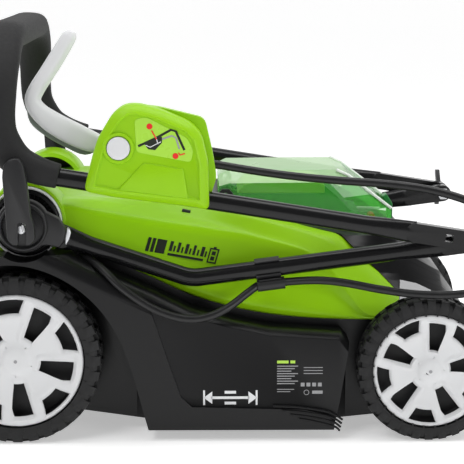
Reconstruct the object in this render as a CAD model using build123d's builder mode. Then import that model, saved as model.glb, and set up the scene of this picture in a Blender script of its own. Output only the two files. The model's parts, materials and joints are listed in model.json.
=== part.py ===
from build123d import *

import math
import os

# A cordless push lawn mower with a 35 cm cut, folded for storage. Millimetres.
# +X points forward, +Y to the mower's left, +Z up. The origin is on the ground under the middle
# of the machine. Profiles of the sides are drawn in planes whose x runs forward from the rear
# axle and whose y is the height over the ground.

# Driving dimensions
wheelbase = 432.0
rear_radius = 89.0
front_radius = 76.0
rear_x = -(wheelbase + front_radius - rear_radius) / 2
wheel_inner = 153.0
rear_wheel_width = 44.0
front_wheel_width = 40.0
axle_diameter = 12.0
crank_radius = 45.0
height_travel = 50.0
running_gap = 0.05

inner_half_width = 146.0
deck_half_width = 189.0
wall = 4.0
cover_wall = 3.0
ground_gap = 12.0
roof_height = 80.0

blade_x = 235.0
blade_diameter = 338.0
blade_width = 46.0
blade_thickness = 3.0
blade_height = 44.0
chamber_radius = 180.0

pivot = (9.0, 228.0)
mid_joint = (491.0, 210.0)
tube_diameter = 19.0
lower_tube_y = 163.0
upper_tube_y = 183.0
flat_height = 23.0
flat_thickness = 13.0
bolt_diameter = 8.0
widest_y = 214.0

cable_diameter = 8.5

SIDES = {"right": -1, "left": 1}
half_swing = math.degrees(math.asin(height_travel / 2 / crank_radius))
crank_forward = crank_radius * math.cos(math.radians(half_swing))

# Cable routes, as corners (x forward of the rear axle, y, height): from the switch box round the
# middle joint to the clip, and from the clip into the deck.
clip_start = 69.0
clip_length = 26.0
CABLE_UPPER = (
    (212, -172, 291), (240, -172, 286), (282, -173, 280), (332, -174, 275), (384, -177, 272),
    (434, -181, 266), (482, -186, 251), (518, -191, 226), (527, -194, 196), (508, -194, 170),
    (470, -191, 158), (424, -187, 156), (380, -182, 161), (338, -177, 169), (304, -172, 170),
    (277.8, -168.0, 166.4),
)
CABLE_LOWER = (
    (252.0, -168.0, 163.1), (240, -175, 156), (224, -186, 145), (206, -194, 137), (184, -198, 133),
    (162, -198, 137), (142, -196, 145), (124, -194, 156), (107, -191, 168.5), (92, -182, 182.5),
    (78.5, -168, 189.9), (66.5, -154.3, 193.6),
)
port_radius = 6.0


def side_plane(y):
    """A vertical plane at y, its x forward from the rear axle and its y up."""
    return Plane(origin=(rear_x, y, 0), x_dir=(1, 0, 0), z_dir=(0, -1, 0))


def cross_plane(x):
    """A plane across the mower at x forward of the rear axle, its x to the left and its y up."""
    return Plane(origin=(rear_x + x, 0, 0), x_dir=(0, 1, 0), z_dir=(1, 0, 0))


def level_plane(z):
    """A horizontal plane at height z, its x forward from the rear axle and its y to the left."""
    return Plane(origin=(rear_x, 0, z), x_dir=(1, 0, 0), z_dir=(0, 0, 1))


def save(part, name):
    part.label = name
    export_step(part, f"parts/{name}.step")


def cable_plane(route, corner):
    """The plane across a cable at one of its corners, looking the way the run before it goes."""
    way = (Vector(*route[corner]) - Vector(*route[corner - 1])).normalized()
    return Plane(origin=Vector(*route[corner]) + Vector(rear_x, 0, 0), z_dir=way)


cable_port = cable_plane(CABLE_LOWER, -1)
os.makedirs("parts", exist_ok=True)

# ---------------------------------------------------------------- deck
# Height of the seam between deck and cover, along the side.
SEAM = ((-52, 196), (9, 200), (60, 199), (100, 186), (143, 167), (180, 149), (226, 136), (265, 128),
        (311, 124), (350, 122), (440, 122))
deck_rear = -58.0
deck_front = 489.0
front_lip = 28.0
rear_lip = 40.0
skirt_rear = 137.0
skirt_front = 332.0
seam_gap = 0.6
shoulder = 20.0
tub_rear = deck_rear + wall
tunnel_half_width = 100.0
panel_depth = 5.0
bracket_radius = 36.0
bracket_inner = 138.5
bracket_outer = 155.5

rear_pivot = (crank_forward, rear_radius - height_travel / 2)
front_pivot = (wheelbase + crank_forward, front_radius - height_travel / 2)
flap_axis = (-64.0, 198.0)
seat_y = 132.0
seat_height = 140.0

with BuildPart() as deck:
    # Middle body between the wheels
    with BuildSketch(side_plane(0)):
        with BuildLine():
            Polyline(
                (deck_rear, rear_lip),
                (deck_rear, SEAM[0][1] - 8),
                *[(x, z - seam_gap) for x, z in SEAM],
                (deck_front - 14, 112),
                (deck_front, 96),
                (deck_front, front_lip),
                (skirt_front, ground_gap),
                (skirt_rear, ground_gap),
                close=True,
            )
        make_face()
    extrude(amount=inner_half_width, both=True)
    # Side skirts that bulge out between the wheels, with the rear fender and arch
    for side in SIDES.values():
        with BuildSketch(side_plane(side * (inner_half_width - wall))):
            with BuildLine():
                arch = Spline(
                    (-50, 176), (0, 189), (54, 171), (92, 136), (114, 94), (127, 50), (137, ground_gap)
                )
                Polyline(
                    arch @ 1,
                    (skirt_front, ground_gap),
                    (338, 40),
                    (348, 104),
                    (340, 114),
                    (311, 116),
                    (265, 119),
                    (226, 127),
                    (180, 140),
                    (143, 158),
                    (100, 177),
                    (56, 198.4),
                    (9, 199.4),
                    (-38, 196),
                    arch @ 0,
                )
            make_face()
        extrude(amount=-side * (deck_half_width - inner_half_width + wall))
    outer_faces = deck.faces().filter_by(Axis.Y)
    outer_faces = outer_faces.filter_by(lambda f: abs(abs(f.center().Y) - deck_half_width) < 0.01)
    rims = [e for f in outer_faces for e in f.edges()]
    top_rims = [e for e in rims if e.center().Z > 100 and e.center().X - rear_x > 60 and e.length > 8
                and not (e.center().X - rear_x < 120 and e.center().Z < 140) and e.length < 60]
    fillet(top_rims, radius=shoulder)
    # Hollow underneath and open on top for the motor
    with BuildSketch(level_plane(-10)):
        with Locations(((deck_rear + deck_front) / 2, 0)):
            Rectangle(deck_front - deck_rear - 2 * wall, 2 * (inner_half_width - wall))
        with Locations(((skirt_rear + skirt_front) / 2, 0)):
            Rectangle(skirt_front - skirt_rear - 2 * wall, 2 * (deck_half_width - panel_depth - wall))
    extrude(amount=roof_height + 10, mode=Mode.SUBTRACT)
    with BuildSketch(level_plane(roof_height + wall)):
        with Locations(((tub_rear + deck_front - wall) / 2, 0)):
            Rectangle(deck_front - wall - tub_rear, 2 * (inner_half_width - wall))
    extrude(amount=200, mode=Mode.SUBTRACT)
    # Blade chamber: a ring wall under the roof
    with BuildSketch(level_plane(ground_gap + 4)):
        with Locations((blade_x, 0)):
            Circle(chamber_radius + wall)
            Circle(chamber_radius, mode=Mode.SUBTRACT)
    extrude(amount=roof_height - ground_gap - 4)
    # Discharge tunnel, rising from the chamber to the back wall
    with BuildSketch(side_plane(0)):
        with BuildLine():
            Polyline((118, 88), (deck_rear + 1, 190), (deck_rear + 1, 94), (42, 80), (58, 43), (118, 43),
                     close=True)
        make_face()
    extrude(amount=tunnel_half_width + wall, both=True)
    with BuildSketch(side_plane(0)):
        with BuildLine():
            Polyline((130, 76), (124, 79), (deck_rear - 5, 186), (deck_rear - 5, 98.4), (45, 84), (60, 46),
                     (60, 30), (130, 30), close=True)
        make_face()
    extrude(amount=tunnel_half_width, both=True, mode=Mode.SUBTRACT)
    # Raised pads that the frame of the grass catcher rests on
    for side in SIDES.values():
        with BuildSketch(cross_plane(deck_rear)):
            with Locations((side * seat_y, seat_height)):
                Rectangle(14, 26)
        extrude(amount=-2)

    # Slots for the axles, holes for the shaft, recesses for the handle brackets
    for x, z in ((rear_pivot[0], rear_pivot[1]), (front_pivot[0], front_pivot[1])):
        with BuildSketch(side_plane(0)):
            with BuildLine():
                Polyline((x - 8, -5), (x - 8, z), (x + 8, z), (x + 8, -5), close=True)
            make_face()
            with Locations((x, z)):
                Circle(8)
        extrude(amount=inner_half_width + 2, both=True, mode=Mode.SUBTRACT)
    with BuildSketch(level_plane(roof_height - 5)):
        with Locations((blade_x, 0)):
            Circle(22)
    extrude(amount=20, mode=Mode.SUBTRACT)
    for side in SIDES.values():
        with BuildSketch(side_plane(side * bracket_inner)):
            with Locations(pivot):
                Circle(bracket_radius)
        extrude(amount=-side * 60, mode=Mode.SUBTRACT)
        # Sunken side panel behind the raised rear fin and bottom band
        with BuildSketch(side_plane(side * (deck_half_width - panel_depth))):
            with BuildLine():
                Polyline((110, 210), (128, 165), (142, 135), (157, 89), (171, 48), (183, 37), (300, 34),
                         (327, 28), (337, 5), (380, 5), (380, 210), close=True)
            make_face()
        extrude(amount=-side * 20, mode=Mode.SUBTRACT)
    # Channel that leads the cable under the handle tube
    with BuildSketch(cable_port):
        Circle(port_radius)
    extrude(amount=22, both=True, mode=Mode.SUBTRACT)
    with BuildSketch(cable_plane(CABLE_LOWER, -2)):
        Circle(port_radius)
    extrude(amount=22, both=True, mode=Mode.SUBTRACT)
    # Ears that hold the flap's rod
    for side in SIDES.values():
        with BuildSketch(side_plane(side * 108)):
            with BuildLine():
                Polyline((-69, 203), (-69, 194), (-58, 180), (-56, 180), (-56, 203), close=True)
            make_face()
        extrude(amount=-side * 8)
        with BuildSketch(side_plane(side * 108)):
            with Locations(flap_axis):
                Circle(2.5)
        extrude(amount=-side * 8, mode=Mode.SUBTRACT)
save(deck.part, "deck")

# ---------------------------------------------------------------- cover and hood
# Stations of the top shell: x, then (half width, height) from the seam up to the flat middle.
SHELL = (
    (-52, (148, 196), (148, 200), (140, 210), (90, 212)),
    (9, (150, 200), (150, 222), (138, 238), (95, 238)),
    (60, (151, 199), (150, 225), (136, 243), (96, 243)),
    (100, (152, 186), (149, 230), (133, 247), (97, 245)),
    (143, (153, 167), (147, 222), (131, 243), (98, 243)),
    (180, (154, 149), (146, 216), (129, 239), (98, 240)),
    (226, (155, 136), (145, 208), (123, 231), (98, 236)),
    (265, (155, 128), (143, 198), (117, 222), (98, 226)),
    (311, (155, 124), (140, 180), (112, 209), (98, 213)),
    (350, (153, 122), (138, 156), (110, 196), (98, 204)),
    (386, (152, 122), (142, 140), (114, 166), (96, 203)),
    (415, (151, 122), (140, 134), (112, 156), (90, 199)),
    (455, (147, 119), (138, 126), (108, 138), (80, 160)),
    (480, (140, 110), (132, 113), (102, 118), (72, 124)),
)
hood_half_width = 97.5
hood_rear = 196.0
hood_seam = 0.25
dome_radius = 42.0


def shell_section(station, inset):
    """One closed cross-section of the top shell, drawn in by inset."""
    x, low, side, edge, top = station
    drop = 20 if inset else 0
    half = [
        (low[0] - inset, low[1] - drop),
        (side[0] - inset, side[1] - 0.3 * inset),
        (edge[0] - 0.8 * inset, edge[1] - inset),
        (top[0], top[1] - inset),
    ]
    return half + [(-y, z) for y, z in reversed(half)]


def shell_loft(inset, first, last):
    """The solid inside the top shell, between two stations."""
    with BuildPart() as solid:
        for number, station in enumerate(SHELL[first:last]):
            x = station[0]
            if inset and number == 0:
                x += inset
            if inset and number == last - first - 1:
                x -= inset
            with BuildSketch(cross_plane(x)):
                with BuildLine():
                    Polyline(*shell_section(station, inset), close=True)
                make_face()
        loft(ruled=True)
    return solid.part


outer_shell = shell_loft(0, 0, len(SHELL))
inner_shell = shell_loft(cover_wall, 0, len(SHELL))


def hood_region(grow):
    """What belongs to the black hood, grown by grow on every seam."""
    with BuildPart() as region:
        with BuildSketch(side_plane(0)):
            with BuildLine():
                Polyline((hood_rear - grow, 50), (hood_rear - grow, 300), (600, 300), (600, 50), close=True)
            make_face()
        extrude(amount=hood_half_width + grow, both=True)
        with BuildSketch(side_plane(0)):
            with BuildLine():
                Polyline((341 - grow, 208), (340 - grow, 300), (600, 300), (600, 50), (412 - grow, 50),
                         (412 - grow, 140), close=True)
            make_face()
        extrude(amount=200, both=True)
    return region.part


with BuildPart() as motor_cover:
    add(outer_shell)
    add(inner_shell, mode=Mode.SUBTRACT)
    # Shoulder round each handle joint
    for side in SIDES.values():
        with BuildSketch(side_plane(side * 112)):
            with Locations(pivot):
                Circle(dome_radius)
        extrude(amount=-side * 38)
        with BuildSketch(side_plane(side * 115)):
            with Locations(pivot):
                Circle(dome_radius - cover_wall)
        extrude(amount=-side * (bracket_inner - 115 - 3), mode=Mode.SUBTRACT)
        with BuildSketch(side_plane(side * bracket_inner)):
            with Locations(pivot):
                Circle(bracket_radius + 0.4)
        extrude(amount=-side * 40, mode=Mode.SUBTRACT)
        with BuildSketch(side_plane(side * 100)):
            with Locations(pivot):
                Circle(9)
        extrude(amount=-side * 60, mode=Mode.SUBTRACT)
    with BuildSketch(side_plane(0)):
        with BuildLine():
            Polyline((-80, 100), (-80, 196), *SEAM[:4], (100, 100), close=True)
        make_face()
    extrude(amount=160, both=True, mode=Mode.SUBTRACT)
    add(hood_region(hood_seam), mode=Mode.SUBTRACT)
    with BuildSketch(cable_port):
        Circle(port_radius)
    extrude(amount=20, both=True, mode=Mode.SUBTRACT)
save(motor_cover.part, "motor_cover")

pocket = (226.0, 373.0, 50.0, 150.0)
key_place = (384.0, -34.0)
lid_pivot = (219.0, 245.0)

with BuildPart() as top_hood:
    add(outer_shell)
    add(inner_shell, mode=Mode.SUBTRACT)
    add(hood_region(-hood_seam), mode=Mode.INTERSECT)
    # Battery pocket: four walls and a floor that hang from the top
    with BuildSketch(level_plane(pocket[3])):
        with Locations(((pocket[0] + pocket[1]) / 2, 0)):
            Rectangle(pocket[1] - pocket[0] + 2 * cover_wall, 2 * (pocket[2] + cover_wall))
    extrude(amount=52)
    with BuildSketch(level_plane(pocket[3])):
        with Locations((pocket[0] + 22, 0)):
            Rectangle(44 + 2 * cover_wall, 2 * (pocket[2] + cover_wall))
    extrude(amount=74)
    with BuildSketch(level_plane(pocket[3] + cover_wall)):
        with Locations(((pocket[0] + pocket[1]) / 2, 0)):
            Rectangle(pocket[1] - pocket[0], 2 * pocket[2])
    extrude(amount=100, mode=Mode.SUBTRACT)
    # Socket of the safety key
    with BuildSketch(level_plane(186)):
        with Locations(key_place):
            Rectangle(12, 26)
    extrude(amount=16)
    with BuildSketch(level_plane(189)):
        with Locations(key_place):
            Rectangle(6.4, 20.4)
    extrude(amount=60, mode=Mode.SUBTRACT)
    # Ears of the lid's hinge
    for side in SIDES.values():
        with BuildSketch(side_plane(side * 70)):
            with BuildLine():
                Polyline((211, 232), (211, 246), (215, 251), (223, 251), (227, 246), (227, 232), close=True)
            make_face()
        extrude(amount=-side * 6)
        with BuildSketch(side_plane(side * 70)):
            with Locations(lid_pivot):
                Circle(2.5 + running_gap)
        extrude(amount=-side * 6, mode=Mode.SUBTRACT)
save(top_hood.part, "top_hood")

# ---------------------------------------------------------------- battery, lid, latch, key
lid_half_width = 66.0
lid_wall = 2.5
LID = ((214, 241), (214, 256), (224, 266), (262, 269), (341, 269), (356, 261), (404, 216), (404, 205),
       (386, 206), (350, 207), (311, 216), (265, 229), (226, 239))

with BuildPart() as battery_lid:
    with BuildSketch(side_plane(0)):
        with BuildLine():
            Polyline(*LID, close=True)
        make_face()
    extrude(amount=lid_half_width, both=True)
    top_edges = battery_lid.edges().filter_by(
        lambda e: abs(abs(e.center().Y) - lid_half_width) < 0.01 and e.center().Z > 255
        and e.center().X < rear_x + 366
    )
    chamfer(top_edges, length=14)
    with BuildSketch(side_plane(0)):
        with BuildLine():
            Polyline((214 + lid_wall, 200), (214 + lid_wall, 255), (225, 263.6), (262.5, 266.4),
                     (340.2, 266.4), (354.8, 258.8), (404 - lid_wall, 214), (404 - lid_wall, 190), close=True)
        make_face()
    extrude(amount=lid_half_width - lid_wall - 5, both=True, mode=Mode.SUBTRACT)
    with BuildSketch(side_plane(0)):
        with BuildLine():
            Polyline((217, 195), (217, 243), (226, 247), (262, 251), (338, 251), (350, 244), (400.5, 203),
                     (400.5, 195), close=True)
        make_face()
    extrude(amount=lid_half_width - lid_wall, both=True, mode=Mode.SUBTRACT)
    # Hinge stubs
    for side in SIDES.values():
        with BuildSketch(side_plane(side * (lid_half_width - 2))):
            with Locations(lid_pivot):
                Circle(4.5)
        extrude(amount=-side * 5)
        with BuildSketch(side_plane(side * (lid_half_width + 3))):
            with Locations(lid_pivot):
                Circle(2.5)
        extrude(amount=-side * 6)
save(battery_lid.part, "battery_lid")

with BuildPart() as lid_latch:
    with BuildSketch(side_plane(-8)):
        with BuildLine():
            Polyline((404.2, 206), (404.2, 222), (398, 232), (403, 235), (410, 224), (410, 206), close=True)
        make_face()
    extrude(amount=-16)
save(lid_latch.part, "lid_latch")

with BuildPart() as battery_pack:
    with BuildSketch(level_plane(pocket[3] + cover_wall + 0.5)):
        with Locations((299.5, 0)):
            RectangleRounded(140, 92, 8)
    extrude(amount=66)
    with BuildSketch(side_plane(0)):
        with BuildLine():
            Polyline((232, 210), (236, 240), (256, 249), (330, 249), (346, 236), (362, 219), (364, 210),
                     close=True)
        make_face()
    extrude(amount=38, both=True)
    grips = battery_pack.edges().filter_by(Axis.Y).group_by(Axis.Z)[-1]
    fillet(grips, radius=5)
save(battery_pack.part, "battery_pack")

with BuildPart() as safety_key:
    with BuildSketch(level_plane(190)):
        with Locations(key_place):
            Rectangle(6, 20)
    extrude(amount=20)
    with BuildSketch(side_plane(key_place[1] - 9)):
        with Locations((key_place[0] - 1, 212)):
            SlotCenterToCenter(4, 8, rotation=90)
    extrude(amount=-18)
save(safety_key.part, "safety_key")

# ---------------------------------------------------------------- handle brackets
for name, side in SIDES.items():
    with BuildPart() as bracket:
        with BuildSketch(side_plane(side * bracket_inner)):
            with Locations(pivot):
                Circle(bracket_radius)
        extrude(amount=-side * (bracket_outer - bracket_inner))
        with BuildSketch(side_plane(side * bracket_inner)):
            with Locations(pivot):
                Circle(9)
        extrude(amount=-side * 9, mode=Mode.SUBTRACT)
        with BuildSketch(side_plane(side * bracket_inner)):
            with Locations(pivot):
                Circle(bolt_diameter / 2 + running_gap)
        extrude(amount=-side * 30, mode=Mode.SUBTRACT)
        # Ring groove between the hub and the toothed rim
        with BuildSketch(side_plane(side * (bracket_outer - 4))):
            with Locations(pivot):
                Circle(27)
                Circle(17, mode=Mode.SUBTRACT)
        extrude(amount=-side * 6, mode=Mode.SUBTRACT)
    save(bracket.part, f"handle_bracket_{name}")

# ---------------------------------------------------------------- motor, shaft, blade
with BuildPart() as motor:
    with BuildSketch(level_plane(roof_height + wall)):
        with Locations((blade_x, 0)):
            Circle(44)
    extrude(amount=60)
    fillet(motor.edges().group_by(Axis.Z)[-1], radius=5)
    with BuildSketch(level_plane(roof_height + wall + 6)):
        with Locations((blade_x, 0)):
            Circle(35)
    extrude(amount=48, mode=Mode.SUBTRACT)
    with BuildSketch(level_plane(0)):
        with Locations((blade_x, 0)):
            Circle(axle_diameter / 2 + running_gap)
    extrude(amount=300, mode=Mode.SUBTRACT)
save(motor.part, "motor")

with BuildPart() as motor_shaft:
    with BuildSketch(level_plane(blade_height + blade_thickness)):
        with Locations((blade_x, 0)):
            Circle(axle_diameter / 2)
    extrude(amount=100)
    with BuildSketch(level_plane(blade_height + blade_thickness)):
        with Locations((blade_x, 0)):
            Circle(bolt_diameter / 2)
    extrude(amount=16, mode=Mode.SUBTRACT)
save(motor_shaft.part, "motor_shaft")

with BuildPart() as rotor:
    with BuildSketch(level_plane(roof_height + wall + 10)):
        with Locations((blade_x, 0)):
            Circle(33)
            Circle(axle_diameter / 2, mode=Mode.SUBTRACT)
    extrude(amount=40)
save(rotor.part, "rotor")

with BuildPart() as blade_carrier:
    with BuildSketch(level_plane(blade_height + blade_thickness)):
        with Locations((blade_x, 0)):
            Circle(28)
    extrude(amount=8)
    with BuildSketch(level_plane(blade_height + 11)):
        with Locations((blade_x, 0)):
            Circle(14)
    extrude(amount=10)
    with BuildSketch(level_plane(blade_height + blade_thickness)):
        with Locations((blade_x, 0)):
            Circle(axle_diameter / 2)
    extrude(amount=30, mode=Mode.SUBTRACT)
save(blade_carrier.part, "blade_carrier")

with BuildPart() as blade:
    with BuildSketch(level_plane(blade_height)):
        with Locations((blade_x, 0)):
            SlotOverall(blade_diameter, blade_width)
    extrude(amount=blade_thickness)
    tips = Plane(origin=(rear_x + blade_x, 0, blade_height))
    with BuildSketch(tips):
        for turn in (0, 180):
            with Locations(Location((0, 0, 0), (0, 0, turn))):
                with Locations((blade_diameter / 2 - 38, 28)):
                    Rectangle(90, 22)
    extrude(amount=blade_thickness, mode=Mode.SUBTRACT)
    with BuildSketch(tips):
        Circle(bolt_diameter / 2)
    extrude(amount=blade_thickness, mode=Mode.SUBTRACT)
save(blade.part, "blade")

with BuildPart() as blade_bolt:
    with BuildSketch(level_plane(blade_height - 7)):
        with Locations((blade_x, 0)):
            RegularPolygon(9, 6)
    extrude(amount=7)
    with BuildSketch(level_plane(blade_height)):
        with Locations((blade_x, 0)):
            Circle(bolt_diameter / 2)
    extrude(amount=18)
save(blade_bolt.part, "blade_bolt")

with BuildPart() as controller:
    with BuildSketch(level_plane(roof_height + wall)):
        with Locations((430, 0)):
            RectangleRounded(56, 110, 4)
    extrude(amount=16)
save(controller.part, "controller")

# ---------------------------------------------------------------- discharge flap
with BuildPart() as flap_rod:
    with BuildSketch(side_plane(-118)):
        with Locations(flap_axis):
            Circle(2.5)
    extrude(amount=-236)
save(flap_rod.part, "flap_rod")

with BuildPart() as rear_flap:
    with BuildSketch(side_plane(0)):
        with BuildLine():
            Polyline((-66, 196), (-66, 90), (-62, 86), (-60, 86), (-60, 184), (-62, 196), close=True)
        make_face()
        with Locations(flap_axis):
            Circle(5)
    extrude(amount=104, both=True)
    with BuildSketch(side_plane(0)):
        with Locations(flap_axis):
            Circle(2.5 + running_gap)
    extrude(amount=110, both=True, mode=Mode.SUBTRACT)
save(rear_flap.part, "rear_flap")

# ---------------------------------------------------------------- axles and wheels
arm_inner = 147.5
arm_outer = 152.5
arm_height = 20.0
hub_inner = 154.0
hub_recess = 13.0
nut_gap = 0.5
nut_thickness = 6.0

AXLES = {
    "rear": (rear_pivot, (0.0, rear_radius), rear_radius, rear_wheel_width, 70.5),
    "front": (front_pivot, (wheelbase, front_radius), front_radius, front_wheel_width, 60.0),
}

for end, (crank, hub, radius, width, face_radius) in AXLES.items():
    hub_outer = wheel_inner + width - hub_recess
    stub_end = hub_outer + nut_gap + nut_thickness + 1.5
    with BuildPart() as axle:
        with BuildSketch(side_plane(0)):
            with Locations(crank):
                Circle(axle_diameter / 2)
        extrude(amount=arm_outer, both=True)
        for side in SIDES.values():
            with BuildSketch(side_plane(side * arm_inner)):
                SlotCenterPoint(((crank[0] + hub[0]) / 2, (crank[1] + hub[1]) / 2), hub, arm_height)
            extrude(amount=-side * (arm_outer - arm_inner))
            with BuildSketch(side_plane(side * arm_inner)):
                with Locations(hub):
                    Circle(axle_diameter / 2)
            extrude(amount=-side * (stub_end - arm_inner))
    save(axle.part, f"{end}_axle")

    # Clamps that hold the axle under the deck
    with BuildPart() as clamps:
        for side in SIDES.values():
            with BuildSketch(side_plane(side * 112)):
                with BuildLine():
                    Polyline((crank[0] - 14, roof_height), (crank[0] - 14, crank[1] - 12),
                             (crank[0] + 14, crank[1] - 12), (crank[0] + 14, roof_height), close=True)
                make_face()
                with Locations(crank):
                    Circle(axle_diameter / 2 + running_gap, mode=Mode.SUBTRACT)
            extrude(amount=-side * 22)
    save(clamps.part, f"{end}_axle_clamps")

    with BuildPart() as nuts:
        for side in SIDES.values():
            with BuildSketch(side_plane(side * (hub_outer + nut_gap))):
                with Locations(hub):
                    RegularPolygon(10, 6)
                    Circle(axle_diameter / 2, mode=Mode.SUBTRACT)
            extrude(amount=-side * nut_thickness)
    save(nuts.part, f"{end}_wheel_nuts")

    tread = width / 2
    middle = wheel_inner + tread
    seat = face_radius + 2.0
    for name, side in SIDES.items():
        centre = Plane(
            origin=(rear_x + hub[0], side * middle, hub[1]), x_dir=(1, 0, 0), z_dir=(0, side, 0)
        )
        across = Plane(origin=centre.origin, x_dir=(0, side, 0), z_dir=(1, 0, 0))
        spin = Axis(centre.origin, (0, 1, 0))
        with BuildPart() as tyre:
            with BuildSketch(across):
                with BuildLine():
                    Polyline((-tread + 2, seat), (-tread, radius - 9), (-tread + 7, radius - 1),
                             (-tread + 11, radius), (tread - 11, radius), (tread - 7, radius - 1),
                             (tread, radius - 9), (tread - 2, seat), close=True)
                make_face()
            revolve(axis=spin)
        save(tyre.part, f"{end}_tyre_{name}")

        with BuildPart() as rim:
            with BuildSketch(across):
                with BuildLine():
                    Polyline((-tread + 3, seat), (-tread + 3, seat - 4), (-4, seat - 8), (-4, 17),
                             (hub_inner - middle, 15), (hub_inner - middle, axle_diameter / 2 + running_gap),
                             (hub_outer - middle, axle_diameter / 2 + running_gap), (hub_outer - middle, 15),
                             (1, 17), (1, seat - 8), (tread - 9, seat - 3), (tread - 9, seat), close=True)
                make_face()
            revolve(axis=spin)
        save(rim.part, f"{end}_rim_{name}")

        # Pale cover with five slots and five windows at the edge
        with BuildPart() as face:
            with BuildSketch(across):
                with BuildLine():
                    Polyline((tread - 8.5, seat), (tread - 8.5, seat - 3), (tread - 4, seat - 6),
                             (tread - 6, 30), (tread - 2, 16), (tread - 2, 0), (tread + 1, 0),
                             (tread + 1, 14), (tread - 1, 20), (tread - 3, 31), (tread - 0.5, seat - 7),
                             (tread - 0.5, seat - 1), (tread - 2, seat), close=True)
                make_face()
            revolve(axis=spin)
            with BuildSketch(centre):
                with PolarLocations(0.57 * face_radius, 5, start_angle=60.5 if end == "rear" else 82):
                    Trapezoid(14, 31, 96, rotation=-90)
            extrude(amount=40, both=True, mode=Mode.SUBTRACT)
            with BuildSketch(centre):
                with PolarLocations(0.79 * face_radius, 5, start_angle=24.5 if end == "rear" else 118):
                    Trapezoid(33, 15, 105, rotation=90)
            extrude(amount=40, both=True, mode=Mode.SUBTRACT)
        save(face.part, f"{end}_wheel_cover_{name}")

# ---------------------------------------------------------------- handle tubes
lower_bend = (182.0, 170.0)
lower_root = (36.0, 223.5)
upper_rear = (14.0, 285.2)
spare_hole = (449.0, 216.6)
lever_y = 195.0
lever_pin_radius = 2.5
knuckle_radius = 29.0


def between(a, b, distance):
    """The point a distance from a, on the way to b."""
    length = math.hypot(b[0] - a[0], b[1] - a[1])
    return (a[0] + (b[0] - a[0]) * distance / length, a[1] + (b[1] - a[1]) * distance / length)


def reach(a, b):
    return math.hypot(b[0] - a[0], b[1] - a[1])


def section_plane(a, b, y):
    """The plane across a tube at a, where it points to b, at y. Its x is up the side."""
    run = Vector(b[0] - a[0], 0, b[1] - a[1]).normalized()
    return Plane(origin=(rear_x + a[0], y, a[1]), x_dir=(-run.Z, 0, run.X), z_dir=run)


def along(a, b, y):
    """The vertical plane at y with its x along the tube from a to b."""
    run = Vector(b[0] - a[0], 0, b[1] - a[1]).normalized()
    return Plane(origin=(rear_x + a[0], y, a[1]), x_dir=run, z_dir=(0, -1, 0))


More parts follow.
